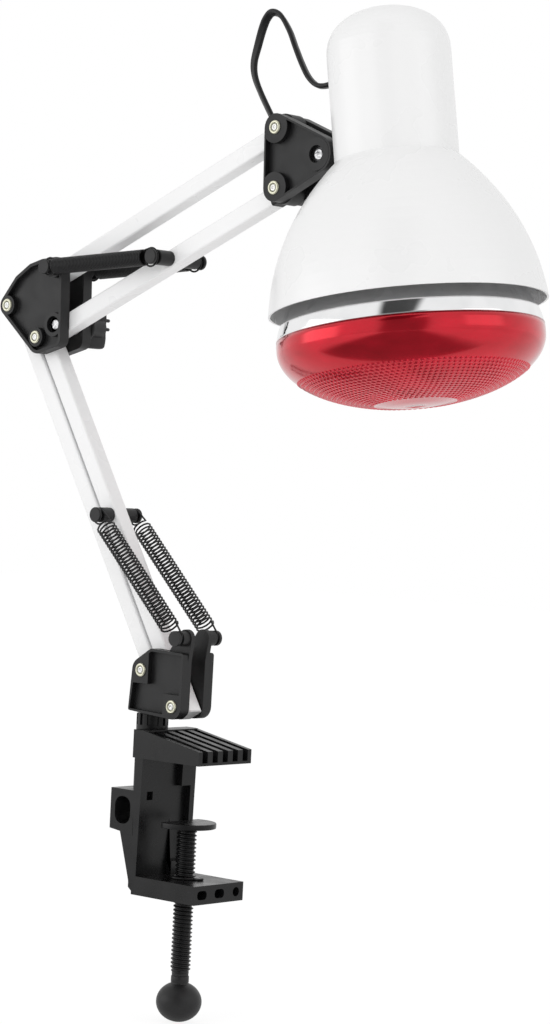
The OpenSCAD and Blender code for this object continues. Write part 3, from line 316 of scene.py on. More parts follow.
def red_finish(name, dark, light, roughness, coat, coat_roughness):
    """Deep red glass with a mirror behind it, shaded for the most part as a red metal."""
    made = Finish(name, roughness[0], metallic=0.8, ior=1.5)
    wave = made.noise(18, 3, (1, 1, 2.4))
    made.coloured(wave, dark, light)
    made.rough(wave, *roughness)
    made.relief(wave, 0.12, 0.35)
    made.set("Coat Weight", coat)
    made.set("Coat Roughness", coat_roughness)
    return made.material


def clear_finish():
    made = Finish("clear_glass", 0.04, ior=1.5)
    cloud = made.noise(8, 2)
    made.coloured(cloud, (0.86, 0.9, 0.9), (0.95, 0.97, 0.97))
    made.rough(cloud, 0.02, 0.06)
    made.set("Transmission Weight", 0.85)
    return made.material


CORD = cord_finish()
CERAMIC = ceramic_finish()
MIRROR = mirror_finish()
RED_SMOOTH = red_finish("red_glass", (0.50, 0.001, 0.012), (0.66, 0.002, 0.020), (0.14, 0.22), 0.6, 0.08)
# The stippled copy of the red glass is painted lighter than the smooth one: a painted highlight for the
# light that its bumps catch.
RED_STIPPLED_PAINTED_LIGHTER = red_finish(
    "red_glass_stippled_painted_lighter", (0.58, 0.003, 0.020), (0.74, 0.006, 0.032), (0.2, 0.32), 0.6, 0.2)
CLEAR = clear_finish()


# ---------------------------------------------------------------- mesh making

def add_mesh(name, parts, body, smooth=True):
    """One object from parts (points in mm, faces, material), riding on a body."""
    points, faces, kinds, materials = [], [], [], []
    for part_points, part_faces, material in parts:
        start = len(points)
        if material not in materials:
            materials.append(material)
        points += [tuple(float(x) * MM for x in p) for p in part_points]
        faces += [tuple(start + i for i in face) for face in part_faces]
        kinds += [materials.index(material)] * len(part_faces)
    mesh = bpy.data.meshes.new(name)
    mesh.from_pydata(points, [], faces)
    for material in materials:
        mesh.materials.append(material)
    mesh.polygons.foreach_set("material_index", kinds)
    mesh.polygons.foreach_set("use_smooth", [smooth] * len(faces))
    mesh.update()
    made = bpy.data.objects.new(name, mesh)
    scene.collection.objects.link(made)
    if body:
        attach(made, body)
    return made


def moved(part, matrix):
    """A part with its points moved by a matrix whose lengths are in metres."""
    points, faces, material = part
    return [tuple(x / MM for x in (matrix @ Vector([c * MM for c in p]))) for p in points], faces, material


def carried_frames(points, first_side):
    """Way, side and third direction at each point of a path, with no twist of their own."""
    ways = np.gradient(points, axis=0)
    ways /= np.linalg.norm(ways, axis=1)[:, None]
    side = np.array(first_side, float)
    sides = []
    for way in ways:
        side = side - (side @ way) * way
        side = side / np.linalg.norm(side)
        sides.append(side)
    sides = np.array(sides)
    return ways, sides, np.cross(ways, sides)


def skin(rings, count):
    """Faces over rings of this many points each, with a flat face on both ends."""
    faces = [
        (i * count + k, i * count + (k + 1) % count, (i + 1) * count + (k + 1) % count, (i + 1) * count + k)
        for i in range(rings - 1)
        for k in range(count)
    ]
    faces.append(tuple(reversed(range(count))))
    faces.append(tuple(range((rings - 1) * count, rings * count)))
    return faces


def swept(points, section, material, first_side=(0, 1, 0), twist=None):
    """A bar of one closed section, given as (side, third) pairs, along a path, with flat ends."""
    points = np.asarray(points, float)
    section = np.asarray(section, float)
    ways, sides, thirds = carried_frames(points, first_side)
    twist = np.zeros(len(points)) if twist is None else np.asarray(twist, float)
    rings = []
    for point, side, third, turn in zip(points, sides, thirds, twist):
        u = math.cos(turn) * side + math.sin(turn) * third
        v = math.cos(turn) * third - math.sin(turn) * side
        rings.append(point + np.outer(section[:, 0], u) + np.outer(section[:, 1], v))
    return np.vstack(rings), skin(len(points), len(section)), material


def circle(radius, sides):
    """Section of a round bar."""
    turns = np.arange(sides) * 2 * math.pi / sides
    return np.c_[np.cos(turns), np.sin(turns)] * radius


def lathed(profile, material, segments=40):
    """A solid turned about Z from (radius, height) pairs that start and end on the axis."""
    points, rings = [], []
    turns = np.arange(segments) * 2 * math.pi / segments
    for radius, height in profile:
        start = len(points)
        if radius < 1e-6:
            points.append((0, 0, height))
            rings.append([start])
        else:
            points += [(radius * math.cos(t), radius * math.sin(t), height) for t in turns]
            rings.append(list(range(start, start + segments)))
    faces = []
    for low, high in zip(rings, rings[1:]):
        for k in range(segments):
            n = (k + 1) % segments
            if len(low) == 1 and len(high) == 1:
                continue
            if len(low) == 1:
                faces.append((low[0], high[n], high[k]))
            elif len(high) == 1:
                faces.append((low[k], low[n], high[0]))
            else:
                faces.append((low[k], low[n], high[n], high[k]))
    return points, faces, material


def turned_ring(profile, material, segments=96):
    """A closed ring turned about Z from a closed loop of (radius, height) pairs."""
    turns = np.arange(segments) * 2 * math.pi / segments
    points = [(r * math.cos(t), r * math.sin(t), h) for t in turns for r, h in profile]
    count = len(profile)
    faces = [
        (i * count + k, ((i + 1) % segments) * count + k,
         ((i + 1) % segments) * count + (k + 1) % count, i * count + (k + 1) % count)
        for i in range(segments)
        for k in range(count)
    ]
    return points, faces, material


def smooth_line(route, steps):
    """A smooth line through the points of a route."""
    route = [np.asarray(p, float) for p in route]
    line = []
    for i in range(len(route) - 1):
        a, b = route[max(i - 1, 0)], route[i]
        c, d = route[i + 1], route[min(i + 2, len(route) - 1)]
        for k in range(steps):
            t = k / steps
            line.append(0.5 * (
                2 * b + (c - a) * t + (2 * a - 5 * b + 4 * c - d) * t * t
                + (3 * b - a - 3 * c + d) * t ** 3
            ))
    line.append(route[-1])
    return np.array(line)


# ---------------------------------------------------------------- cord

CORD_W = 4.3
CORD_T = 2.4
CORD_EXIT = HEAD_TOP + np.array([-8.2, 1])
CORD_LEAN = 34                  # degrees from upright, at the exit
CORD_SUNK = 5
CORD_WAY = np.array([-math.sin(math.radians(CORD_LEAN)), math.cos(math.radians(CORD_LEAN))])
CORD_START = CORD_EXIT - CORD_SUNK * CORD_WAY
CORD_Z = JOINT_HEIGHT + 34.3
HOLDER_R = 20
# Points of the loop, from the top pivot of the head bracket
CORD_LOOP = [
    (-13, 8), (-20, 18.5), (-24.5, 27), (-25.5, 34), (-23.5, 42), (-21, 50), (-18.5, 55),
    (-15, 57.5), (-9.5, 55.5), (-3.5, 48), (1, 39.5), (5.5, 31.5), (10, 25), (15, 21), (20, 20),
]


def cord_route():
    """From inside the tube's eye, round the loop and through the neck to the lamp holder."""
    route = [CORD_START, CORD_EXIT]
    route += [HEAD_TOP + p for p in CORD_LOOP]
    route += [head_place(-NECK_R - 4, CORD_Z), head_place(-HOLDER_R - 0.2, CORD_Z)]
    return [(p[0], 0, p[1]) for p in route]


def twin_section(width, thick, sides=10):
    """Section of a flat cord of two round cores side by side."""
    radius = thick / 2
    reach = (width - thick) / 2
    right = [
        (reach + radius * math.cos(a), radius * math.sin(a))
        for a in np.linspace(-math.radians(105), math.radians(105), sides)
    ]
    left = [(-u, -v) for u, v in right]
    return right + left


def make_cord():
    """The flat head cord, between the head bracket and the head."""
    line = smooth_line(cord_route(), 7)
    share = np.linspace(0, 1, len(line))
    # the section turns about the line on the way from the exit to the holder
    twist = np.interp(share, [0, 0.18, 0.42, 0.6, 1], np.radians([48, 50, 128, 160, 180]))
    part = swept(line, twin_section(CORD_W, CORD_T), CORD, twist=twist)
    cord = add_mesh("head_cord_flat", [part], None)
    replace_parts(cord, "head_cord")
    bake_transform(cord)


make_cord()


# ---------------------------------------------------------------- springs

LOWER_SPRING_D = 10
UPPER_SPRING_D = 8.5
LOWER_SPRING_Y = 12.9
UPPER_SPRING_Y = 15.8
GROOVE_R = 1.8                  # at the foot of the groove that a hook sits in
SEAT = 0.3                      # gap between a hook and its groove
HOOK_ARC = 250                  # degrees


def spring_line(length, reach, radius, hook_r, wire, curls, rings):
    """Centre line of an extension spring along +X, with a hook at each end."""
    shift = (hook_r - wire / 2) - GROOVE_R - SEAT
    around = np.radians(90 + 360 * np.arange(curls * rings + 1) / rings)
    coil = np.c_[
        length * np.arange(curls * rings + 1) / (curls * rings),
        radius * np.cos(around),
        radius * np.sin(around),
    ]
    hook = np.radians(np.linspace(HOOK_ARC, 0, 18))
    foot = np.c_[
        shift - reach + hook_r * np.cos(np.pi / 2 + hook), 0 * hook, hook_r * np.sin(np.pi / 2 + hook)
    ]
    tip = np.c_[
        length + reach - shift + hook_r * np.cos(np.pi / 2 - hook), 0 * hook,
        hook_r * np.sin(np.pi / 2 - hook),
    ]
    return np.vstack([foot, coil, tip[::-1]])


def make_spring(name, node, a, b, y, across, wire, curls, reach, hook_r, bodies, rings=12):
    """A spring from a to b at this y."""
    way = (b - a) / np.linalg.norm(b - a)
    length = np.linalg.norm(b - a) - 2 * reach
    line = spring_line(length, reach, (across - wire) / 2, hook_r, wire, curls, rings)
    along = reach + line[:, 0]
    points = np.c_[
        a[0] + along * way[0] - line[:, 2] * way[1],
        y + line[:, 1],
        a[1] + along * way[1] + line[:, 2] * way[0],
    ]
    spring = add_mesh(name, [swept(points, circle(wire / 2, 8), SPRING_WIRE)], None)
    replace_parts(spring, node)
    first, last = a + reach * way, b - reach * way
    if bodies[0] == "base_bracket":
        first, last = last, first
    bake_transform(spring)


for side, y in (("near", -LOWER_SPRING_Y), ("far", LOWER_SPRING_Y)):
    make_spring(
        f"lower_spring_{side}_coils", f"lower_spring_{side}", LOWER_STUD, SPRING_EAR, y,
        across=LOWER_SPRING_D, wire=0.95, curls=34, reach=7.5, hook_r=3.8,
        bodies=("base_bracket", "lower_front"),
    )
for side, y in (("near", -UPPER_SPRING_Y), ("far", UPPER_SPRING_Y)):
    make_spring(
        f"upper_spring_{side}_coils", f"upper_spring_{side}", ELBOW_TOP, UPPER_STUD, y,
        across=UPPER_SPRING_D, wire=1.0, curls=62, reach=6.2, hook_r=4.6,
        bodies=("elbow", "upper_bottom"),
    )


# ---------------------------------------------------------------- rivets

RIVET_R = 2.4
RIVET_HEAD_R = 3.4


def rivet_end(y, outward):
    """One rolled end of a rivet: a cream ring round a bright dome with a dimple."""
    ring = [
        (RIVET_R, -0.2), (RIVET_HEAD_R - 0.05, -0.1), (RIVET_HEAD_R, 0.15), (RIVET_HEAD_R - 0.12, 0.5),
        (RIVET_HEAD_R - 0.45, 0.78), (RIVET_HEAD_R - 0.85, 0.86), (RIVET_HEAD_R - 1.2, 0.72),
        (RIVET_HEAD_R - 1.35, 0.45), (RIVET_HEAD_R - 1.4, 0.1),
    ]
    core = [
        (1.85, -0.2), (1.85, 0.3), (1.7, 0.5), (1.4, 0.68), (1.05, 0.74), (0.8, 0.68),
        (0.6, 0.5), (0, 0.42),
    ]
    turn = Matrix.Rotation(math.radians(90 if outward < 0 else -90), 4, "X")
    parts = [
        turned_ring(ring[::-1] + [(2.0, -0.2)], RING_METAL, 48),
        lathed([(0, -0.2), (2.05, -0.2), (2.05, 0.02), (0, 0.02)], STEEL, 40),
        lathed([(0, -0.1)] + core, CORE_METAL, 40),
    ]
    return [moved(part, Matrix.Translation((0, y * MM, 0)) @ turn) for part in parts]


def make_rivets(name, node, places, body):
    """A rivet through both plates at each place, rolled over at both ends."""
    parts = []
    shank_side = [(0, -PLATE_Y), (RIVET_R, -PLATE_Y), (RIVET_R, PLATE_Y), (0, PLATE_Y)]
    for p in places:
        middle = Matrix.Translation(spot(p))
        for outward in (-1, 1):
            parts += [moved(part, middle) for part in rivet_end(outward * PLATE_Y, outward)]
        shank = lathed(shank_side, CORE_METAL, 32)
        parts.append(moved(shank, middle @ Matrix.Rotation(math.radians(90), 4, "X")))
    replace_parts(add_mesh(name, parts, body), node)


make_rivets("base_rivet_eyelets", "base_rivets", [BASE_BACK, BASE_FRONT], "base_bracket")
make_rivets("elbow_rivet_eyelets", "elbow_rivets", [ELBOW_BACK, ELBOW_FRONT], "elbow")
make_rivets("head_rivet_eyelets", "head_rivets", [HEAD_LOW, HEAD_TOP], "head_bracket")


# ---------------------------------------------------------------- clamp screw

SCREW_R = 5
SCREW_ROOT = 4.2
SCREW_PITCH = 2
THREAD_TOP = -33.2
THREAD_FOOT = -105.2
NECK_SCREW_R = 3.9
NECK_FOOT = -116.2


def make_screw():
    """The clamp screw with its thread cut as one helix, run out at both ends."""
    sides, steps = 40, 12
    count = int((THREAD_TOP - THREAD_FOOT) / SCREW_PITCH * steps)
    heights = np.linspace(THREAD_TOP, THREAD_FOOT, count)
    points = []
    for z in heights:
        fade = min(1.0, (THREAD_TOP - z) / SCREW_PITCH, (z - THREAD_FOOT) / SCREW_PITCH)
        for k in range(sides):
            phase = (z / SCREW_PITCH + k / sides) % 1
            crest = np.interp(phase, [0, 0.2, 0.42, 0.62, 0.85, 1], [0, 0, 1, 1, 0, 0])
            radius = SCREW_ROOT + (SCREW_R - SCREW_ROOT) * crest * max(fade, 0)
            turn = 2 * math.pi * k / sides
            points.append((radius * math.cos(turn), radius * math.sin(turn), z))
    faces = [
        (i * sides + k, (i + 1) * sides + k, (i + 1) * sides + (k + 1) % sides, i * sides + (k + 1) % sides)
        for i in range(count - 1)
        for k in range(sides)
    ]
    faces.append(tuple(range(sides)))
    faces.append(tuple(reversed(range((count - 1) * sides, count * sides))))
    tip = lathed([(0, THREAD_TOP + 1.5), (2.6, THREAD_TOP + 1.5), (3, THREAD_TOP + 1.1),
                  (3, THREAD_TOP - 0.5), (0, THREAD_TOP - 0.5)][::-1], BLACK)
    neck = lathed([(0, NECK_FOOT), (NECK_SCREW_R, NECK_FOOT), (NECK_SCREW_R, THREAD_FOOT - 2.4),
                   (NECK_SCREW_R + 0.3, THREAD_FOOT - 0.4), (SCREW_ROOT, THREAD_FOOT + 0.3),
                   (0, THREAD_FOOT + 0.3)], BLACK)
    screw = add_mesh("clamp_screw_thread", [(points, faces, BLACK_GLOSSY), tip, neck], "clamp_screw")
    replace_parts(screw, "clamp_screw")


make_screw()


# ---------------------------------------------------------------- ball and wing knobs

BALL_Z = -119.5
BALL_R = 11.3
BALL_HALF_HEIGHT = 9.95


def make_ball():
    """The grip at the foot of the screw: a ball pressed a little flat, with a short collar."""
    around = np.radians(np.linspace(-90, 68, 34))
    ball = [(BALL_R * math.cos(a), BALL_Z + BALL_HALF_HEIGHT * math.sin(a)) for a in around]
    collar = [(4.5, BALL_Z + 9.9), (4.45, BALL_Z + 12.6), (4.2, BALL_Z + 13), (0, BALL_Z + 13)]
    ball[0] = (0, ball[0][1])
    made = add_mesh("clamp_ball_grip", [lathed(ball + collar, BLACK, 72)], "clamp_screw")
    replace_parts(made, "clamp_ball_knob")


def rounded_loop(half_w, half_h, radius, steps=4):
    """Outline of a rectangle with rounded corners, anticlockwise."""
    radius = min(radius, half_w * 0.99, half_h * 0.99)
    loop = []
    for corner, (sx, sy) in enumerate(((1, 1), (-1, 1), (-1, -1), (1, -1))):
        for k in range(steps + 1):
            a = math.pi / 2 * (corner + k / steps)
            loop.append((
                sx * (half_w - radius) + radius * math.cos(a),
                sy * (half_h - radius) + radius * math.sin(a),
            ))
    return loop


def lofted(rings, material):
    """A solid skinned over rings that have the same number of points."""
    points = [p for ring in rings for p in ring]
    return points, skin(len(rings), len(rings[0])), material


KNOB_GAP = 0.3
HUB_R = 5.5
SKIRT_R = 7.1
# Along a wing from the hub: reach, inner and outer height above the plate, thickness
WING = [
    (2, 1.2, 14.6, 4.6), (5, 1.2, 14.8, 4.6), (7.5, 1.4, 14.6, 4.5), (9.4, 1.9, 14.1, 4.5),
    (10.3, 2.8, 13.2, 3.9), (10.6, 4.2, 11.8, 2.8),
]


def wing(side):
    """One wing of a knob, on the side given as 1 or -1."""
    rings = []
    for reach, low, high, thick in WING:
        middle, half = (low + high) / 2, (high - low) / 2
        loop = rounded_loop(thick / 2, half, 1.1)
        rings.append([(side * reach, side * w, middle + h) for w, h in loop])
    return lofted(rings, BLACK)


def make_wing_knob(name, node, place, turn, body):
    """A knob with two wings and two small pegs on its end; turn is the way of its first wing."""
    hub = lathed([
        (0, 0), (SKIRT_R - 0.3, 0), (SKIRT_R, 0.3), (SKIRT_R, 1.6), (SKIRT_R - 0.4, 2), (HUB_R + 0.4, 2.1),
        (HUB_R, 2.6), (HUB_R - 0.3, 11.5), (HUB_R - 1, 12.2), (0, 12.2),
    ], BLACK, 48)
    pegs = [
        moved(lathed([(0, 12), (0.9, 12), (0.9, 18), (0.6, 18.5), (0, 18.5)], BLACK, 16),
              Matrix.Translation((x * MM, 0, 0)))
        for x in (-4.6, 0)
    ]
    place_of_knob = (
        Matrix.Translation(spot(place, PLATE_Y + KNOB_GAP))
        @ Matrix.Rotation(math.radians(turn), 4, "Y")
        @ Matrix.Rotation(math.radians(-90), 4, "X")
    )
    parts = [moved(part, place_of_knob) for part in [hub, wing(1), wing(-1)] + pegs]
    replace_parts(add_mesh(name, parts, body), node)


make_ball()
make_wing_knob("elbow_wing_knob", "elbow_knob", ELBOW_LOW, 90, "elbow_knob")
make_wing_knob("tilt_wing_knob", "tilt_knob", TILT, -50, "tilt_knob")


# ---------------------------------------------------------------- bulb face

BULB_R = 62.5
BULB_DROP = 16.5
FACE_DEPTH = 29.5
GLASS_WALL = 1.2
MIRROR_EDGE = -BULB_DROP + 4.5
STIPPLE_START = 30              # degrees round the face's side view from its widest place
STIPPLE_END = 73
STIPPLE_PITCH = 2.55
STIPPLE_H = 0.42


def face_point(angle, inset=0.0):
    """Radius and height of the face at an angle from its widest place to its crown."""
    a = math.radians(angle)
    return (BULB_R - inset) * math.cos(a), -BULB_DROP - (FACE_DEPTH - inset) * math.sin(a)


def face_normal(angle):
    """Outward way of the face at an angle, as its parts along the radius and up the axis."""
    a = math.radians(angle)
    normal = np.array([math.cos(a) / BULB_R, -math.sin(a) / FACE_DEPTH])
    return normal / np.linalg.norm(normal)


def face_shell():
    """The glass of the face, with a flat at its centre and a low step round it."""
    outer = [(BULB_R - 0.1, MIRROR_EDGE), (BULB_R, -BULB_DROP + 2)]
    outer += [face_point(a) for a in np.linspace(0, STIPPLE_END - 0.5, 34)]
    edge_r, edge_z = face_point(STIPPLE_END)
    outer += [(edge_r - 0.2, edge_z + 0.35), (edge_r - 0.8, edge_z + 0.3)]
    outer += [face_point(a) for a in (78, 84, 89.9)]
    inner = [face_point(a, GLASS_WALL) for a in np.linspace(89.9, 0, 24)]
    inner.append((BULB_R - 0.1 - GLASS_WALL, MIRROR_EDGE))
    return turned_ring([(r, z) for r, z in outer + inner], RED_SMOOTH, 128)


def bump_solid(centre, outward, across, height):
    """A low six-sided dome that stands on the glass, with a base sunk a little into it."""
    side = np.cross(outward, (0, 0, 1))
    side /= np.linalg.norm(side)
    up = np.cross(side, outward)
    points = []
    for radius, rise in ((across / 2, -0.25), (across / 2 * 0.96, 0.0), (across / 2 * 0.55, height * 0.8)):
        for k in range(6):
            a = math.radians(60 * k)
            points.append(centre + radius * (math.cos(a) * side + math.sin(a) * up) + rise * outward)
    points.append(centre + height * outward)
    faces = [tuple(reversed(range(6)))]
    for ring in (0, 6):
        faces += [(ring + k, ring + (k + 1) % 6, ring + 6 + (k + 1) % 6, ring + 6 + k) for k in range(6)]
    faces += [(12 + k, 12 + (k + 1) % 6, 18) for k in range(6)]
    return points, faces


def stipple():
    """Rings of low domes that cover the face between its smooth band and its centre."""
    points, faces = [], []
    angle, row = STIPPLE_START + 1.5, 0
    while angle < STIPPLE_END - 1:
        radius, height = face_point(angle)
        normal = face_normal(angle)
        count = int(2 * math.pi * radius / STIPPLE_PITCH)
        for k in range(count):
            turn = 2 * math.pi * (k + 0.5 * (row % 2)) / count
            way = np.array([math.cos(turn), math.sin(turn), 0])
            centre = radius * way + np.array([0, 0, height])
            outward = normal[0] * way + np.array([0, 0, normal[1]])
            made = bump_solid(centre, outward, STIPPLE_PITCH * 1.02, STIPPLE_H)
            start = len(points)
            points += made[0]
            faces += [tuple(start + i for i in face) for face in made[1]]
        a = math.radians(angle)
        slope = math.hypot(BULB_R * math.sin(a), FACE_DEPTH * math.cos(a))
        angle += math.degrees(STIPPLE_PITCH * 0.86 / slope)
        row += 1
    return points, faces, RED_STIPPLED_PAINTED_LIGHTER


SHOULDER_R = 31                 # roundness of the mirror above the bulb's widest place
SHOULDER_END = 27.6             # degrees of it, up to the straight flank
BULB_WAIST = (26, 61)
BULB_NECK_R = 15.5
BULB_NECK_FOOT = 87.5
BULB_CAP_FOOT = 101.5


def reflector_shell():
    """The mirror-coated glass: a round shoulder, a flank down to the waist, and the neck."""
    start = math.degrees(math.asin((MIRROR_EDGE + BULB_DROP) / SHOULDER_R))
    outer = [
        (BULB_R - SHOULDER_R * (1 - math.cos(a)), -BULB_DROP + SHOULDER_R * math.sin(a))
        for a in np.radians(np.linspace(start, SHOULDER_END, 12))
    ]
    flank = smooth_line([outer[-1], (46.5, 23), BULB_WAIST, (18, 74), (BULB_NECK_R, BULB_NECK_FOOT)], 8)
    outer += [tuple(p) for p in flank[1:]] + [(BULB_NECK_R, BULB_CAP_FOOT + 1)]
    inner = [(r - GLASS_WALL, z) for r, z in reversed(outer)]
    return turned_ring(outer + inner, MIRROR, 128)


mirror = add_mesh("bulb_mirror", [moved(reflector_shell(), HEAD)], "head")
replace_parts(mirror, "bulb_reflector")
face = add_mesh("bulb_face_glass", [moved(face_shell(), HEAD)], "head")
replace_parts(face, "bulb_face")
add_mesh("bulb_face_stipple", [moved(stipple(), HEAD)], "head", smooth=False)


# ---------------------------------------------------------------- finishes of the CAD nodes

NODE_FINISH = {
    BLACK: """base_spigot base_plate_near base_plate_far elbow_plate_near elbow_plate_far
        elbow_spring_pin lower_spring_stud upper_spring_stud head_plate_near head_plate_far
        cord_grommet upper_tube_bottom_eye upper_tube_top_eye""",
    BLACK_GLOSSY: "clamp_body clamp_nut clamp_pad",
    WHITE: "lower_tube_back lower_tube_front upper_tube_bottom upper_tube_top",
    PLUG_WHITE: """lower_tube_back_plugs lower_tube_front_plugs upper_tube_bottom_plug
        upper_tube_top_plug""",
    STUD_STEEL: "elbow_knob_stud tilt_knob_stud",
    STEEL: """elbow_washers tilt_washers neck_bracket bracket_screws holder_strap
        strap_screws bulb_cap filament_leads""",
    DARK_STEEL: "elbow_nut tilt_nut bulb_cap_insulator",
    SHADE_WHITE: "shade",
    CERAMIC: "lamp_holder",
    BRASS: "holder_shell holder_contact",
    CLEAR: "bulb_stem",
    TUNGSTEN: "filament",
}

for finish, names in NODE_FINISH.items():
    for name in names.split():
        slots = nodes[name].data.materials
        slots.clear()
        slots.append(finish)

# Moulded and sawn edges are softened by these widths, in millimetres
SOFT_EDGES = {
    0.8: "clamp_body",
    0.55: """base_plate_near base_plate_far elbow_plate_near elbow_plate_far head_plate_near
        head_plate_far""",
    0.4: "clamp_pad clamp_nut lower_spring_stud upper_spring_stud elbow_spring_pin",
    0.3: "cord_grommet upper_tube_bottom_eye upper_tube_top_eye",
    0.15: """neck_bracket elbow_nut tilt_nut elbow_knob_stud tilt_knob_stud bracket_screws
        holder_strap""",
}


def soften(thing, width):
    """Rounds the sharp edges of a CAD node, with a modifier."""
    weld = thing.modifiers.new("weld", "WELD")
    weld.merge_threshold = 1e-6
    flat = thing.modifiers.new("flat", "DECIMATE")
    flat.decimate_type = "DISSOLVE"
    flat.angle_limit = math.radians(0.6)
    bevel = thing.modifiers.new("bevel", "BEVEL")
    bevel.width = width * MM
    bevel.segments = 2
    bevel.limit_method = "ANGLE"
    bevel.angle_limit = math.radians(35)
    bevel.use_clamp_overlap = True
    bevel.harden_normals = False
    shading = thing.modifiers.new("shading", "WEIGHTED_NORMAL")
    shading.keep_sharp = False
    shading.weight = 80


for width, names in SOFT_EDGES.items():
    for name in names.split():
        soften(nodes[name], width)


# ---------------------------------------------------------------- floor, background and light

FLOOR_Z = BALL_Z - BALL_HALF_HEIGHT - 0.3
FLOOR_HALF = 4000
FLOOR_GLOW = 1.09
AMBIENT = 0.81                  # level of the background, as a light
REFLECTED = 0.9                 # and as reflections see it


def largest(tree, a, b):
    """The larger of two values."""
    node = tree.nodes.new("ShaderNodeMath")
    node.operation = "MAXIMUM"
    tree.links.new(a, node.inputs[0])
    tree.links.new(b, node.inputs[1])
    return node.outputs[0]


def mapped(tree, value, low, high):
    """Maps a value from 0 to 1 to one from low to high."""
    node = tree.nodes.new("ShaderNodeMapRange")
    node.inputs["To Min"].default_value = low
    node.inputs["To Max"].default_value = high
    tree.links.new(value, node.inputs["Value"])
    return node.outputs["Result"]


def make_world():
    """An even background, white to the camera and darker as a light and in reflections."""
    world = bpy.data.worlds.new("studio")
    scene.world = world
    world.use_nodes = True
    tree = world.node_tree
    background = tree.nodes["Background"]
    background.inputs["Color"].default_value = (1, 1, 1, 1)
    path = tree.nodes.new("ShaderNodeLightPath").outputs
    seen = largest(tree, path["Is Camera Ray"], path["Is Transmission Ray"])
    reflected = mapped(tree, path["Is Glossy Ray"], AMBIENT, REFLECTED)
    level = largest(tree, seen, reflected)
    tree.links.new(level, background.inputs["Strength"])


def make_floor():
    """A wide pale floor that looks white to the camera and keeps a part of the shadow."""
    half = FLOOR_HALF
    part = swept([(-half, 0, 0), (half, 0, 0)], [(-half, -10), (half, -10), (half, 0), (-half, 0)], None)
    material = bpy.data.materials.new("floor")
    material.use_nodes = True
    tree = material.node_tree
    output = tree.nodes["Material Output"]
    tree.nodes.remove(tree.nodes["Principled BSDF"])
    matt = tree.nodes.new("ShaderNodeBsdfDiffuse")
    matt.inputs["Color"].default_value = (0.85, 0.85, 0.85, 1)
    glow = tree.nodes.new("ShaderNodeEmission")
    glow.inputs["Strength"].default_value = FLOOR_GLOW
    seen = tree.nodes.new("ShaderNodeLightPath").outputs["Is Camera Ray"]
    mix = tree.nodes.new("ShaderNodeMixShader")
    tree.links.new(mapped(tree, seen, 0.35, 0.8), mix.inputs["Fac"])
    tree.links.new(matt.outputs[0], mix.inputs[1])
    tree.links.new(glow.outputs[0], mix.inputs[2])
    tree.links.new(mix.outputs[0], output.inputs["Surface"])
    floor = add_mesh("floor", [(part[0], part[1], material)], None, smooth=False)
    floor.location.z = FLOOR_Z * MM


def camera_side(degrees, rise):
    """A level direction this far to the right of the camera, as seen from the lamp, with a rise."""
    turn = math.radians(CAMERA_TURN + degrees)
    way = Vector((math.sin(turn), -math.cos(turn), rise))
    return way.normalized()


LAMP_MIDDLE = Vector((0.05, 0, 0.2))


def make_light(name, degrees, rise, distance, width, height, share):
    """A softbox; share is its light on a surface that faces it, against an even white sky's."""
    data = bpy.data.lights.new(name, "AREA")
    data.shape = "RECTANGLE"
    data.size = width
    data.size_y = height
    data.energy = share * (math.pi * distance) ** 2
    light = bpy.data.objects.new(name, data)
    scene.collection.objects.link(light)
    way = camera_side(degrees, rise)
    light.location = LAMP_MIDDLE + way * distance
    light.rotation_mode = "QUATERNION"
    light.rotation_quaternion = way.to_track_quat("Z", "Y")
    light.visible_glossy = False


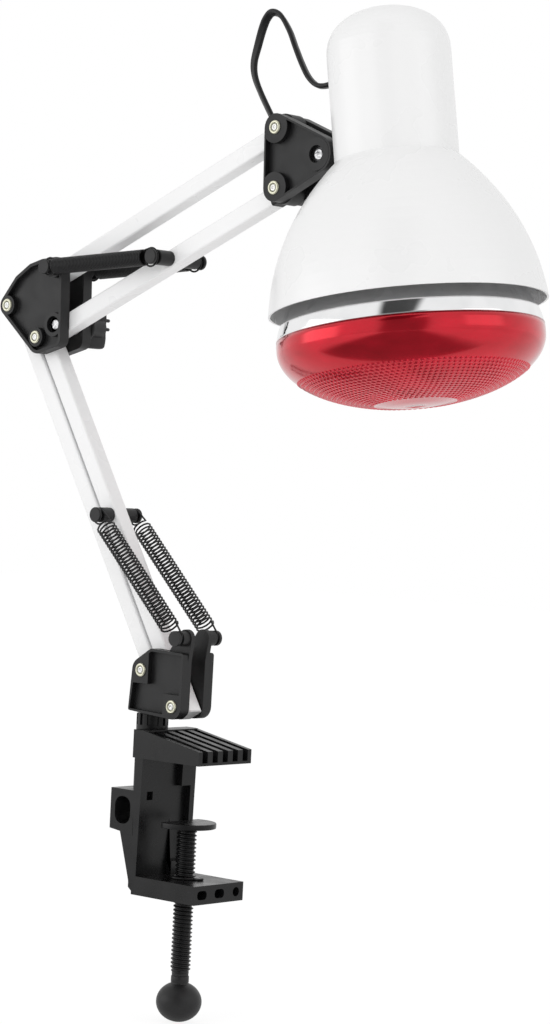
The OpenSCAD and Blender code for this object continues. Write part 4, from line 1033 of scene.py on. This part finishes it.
def make_card(name, middle, across, up, width, height, level, edge_level):
    """A studio card that only reflections see, whose level changes softly towards its sides."""
    material = bpy.data.materials.new(name)
    material.use_nodes = True
    tree = material.node_tree
    tree.nodes.remove(tree.nodes["Principled BSDF"])
    place = tree.nodes.new("ShaderNodeTexCoord").outputs["Object"]
    split = tree.nodes.new("ShaderNodeSeparateXYZ")
    tree.links.new(place, split.inputs[0])
    aside = tree.nodes.new("ShaderNodeMath")
    aside.operation = "ABSOLUTE"
    tree.links.new(split.outputs["X"], aside.inputs[0])
    soft = tree.nodes.new("ShaderNodeMapRange")
    soft.interpolation_type = "SMOOTHSTEP"
    soft.inputs["From Min"].default_value = width * 0.3
    soft.inputs["From Max"].default_value = width * 0.5
    soft.inputs["To Min"].default_value = level
    soft.inputs["To Max"].default_value = edge_level
    tree.links.new(aside.outputs[0], soft.inputs["Value"])
    glow = tree.nodes.new("ShaderNodeEmission")
    tree.links.new(soft.outputs["Result"], glow.inputs["Strength"])
    tree.links.new(glow.outputs[0], tree.nodes["Material Output"].inputs["Surface"])
    half_w, half_h = width / 2 / MM, height / 2 / MM
    corners = [(-half_w, -half_h, 0), (half_w, -half_h, 0), (half_w, half_h, 0), (-half_w, half_h, 0)]
    card = add_mesh(name, [(corners, [(0, 1, 2, 3)], material)], None, smooth=False)
    turn = Matrix((across, up, across.cross(up))).transposed().to_4x4()
    card.matrix_world = Matrix.Translation(middle) @ turn
    card.visible_camera = False
    card.visible_diffuse = False
    card.visible_shadow = False
    card.visible_transmission = False


def standing_card(name, degrees, rise, distance, width, height, level, edge_level):
    """A card that faces the lamp from this side."""
    way = camera_side(degrees, rise)
    across = way.cross(Vector((0, 0, 1))).normalized()
    middle = LAMP_MIDDLE + way * distance
    make_card(name, middle, across, across.cross(way), width, height, level, edge_level)


def floor_card(name, degrees, distance, width, length, level, edge_level):
    """A card that lies just above the floor on this side of the lamp."""
    way = camera_side(degrees, 0)
    middle = LAMP_MIDDLE + way * distance
    middle.z = (FLOOR_Z + 1) * MM
    across = way.cross(Vector((0, 0, 1))).normalized()
    make_card(name, middle, across, way, width, length, level, edge_level)


make_world()
make_floor()
make_light("left_softbox", -44, 0.3, 1.9, 0.9, 1.3, 0.18)
make_light("right_softbox", 60, 0.3, 1.9, 0.9, 1.3, 0.1)
make_light("top_softbox", -15, 1.3, 1.7, 1.2, 1.2, 0.03)
standing_card("dark_card", -15, 0.9, 1.6, 1.0, 1.5, 0.06, REFLECTED)
standing_card("low_dark_card", -6, 0, 1.7, 1.5, 1.3, 0.25, REFLECTED)
floor_card("dark_mat", -5, 0.85, 1.0, 1.5, 0.25, 0.8)
standing_card("left_card", -84, 0, 1.9, 1.7, 1.5, 1.9, REFLECTED)
standing_card("right_card", 62, 0.3, 1.9, 1.5, 0.9, 1.4, REFLECTED)

scene.view_settings.view_transform = "Standard"
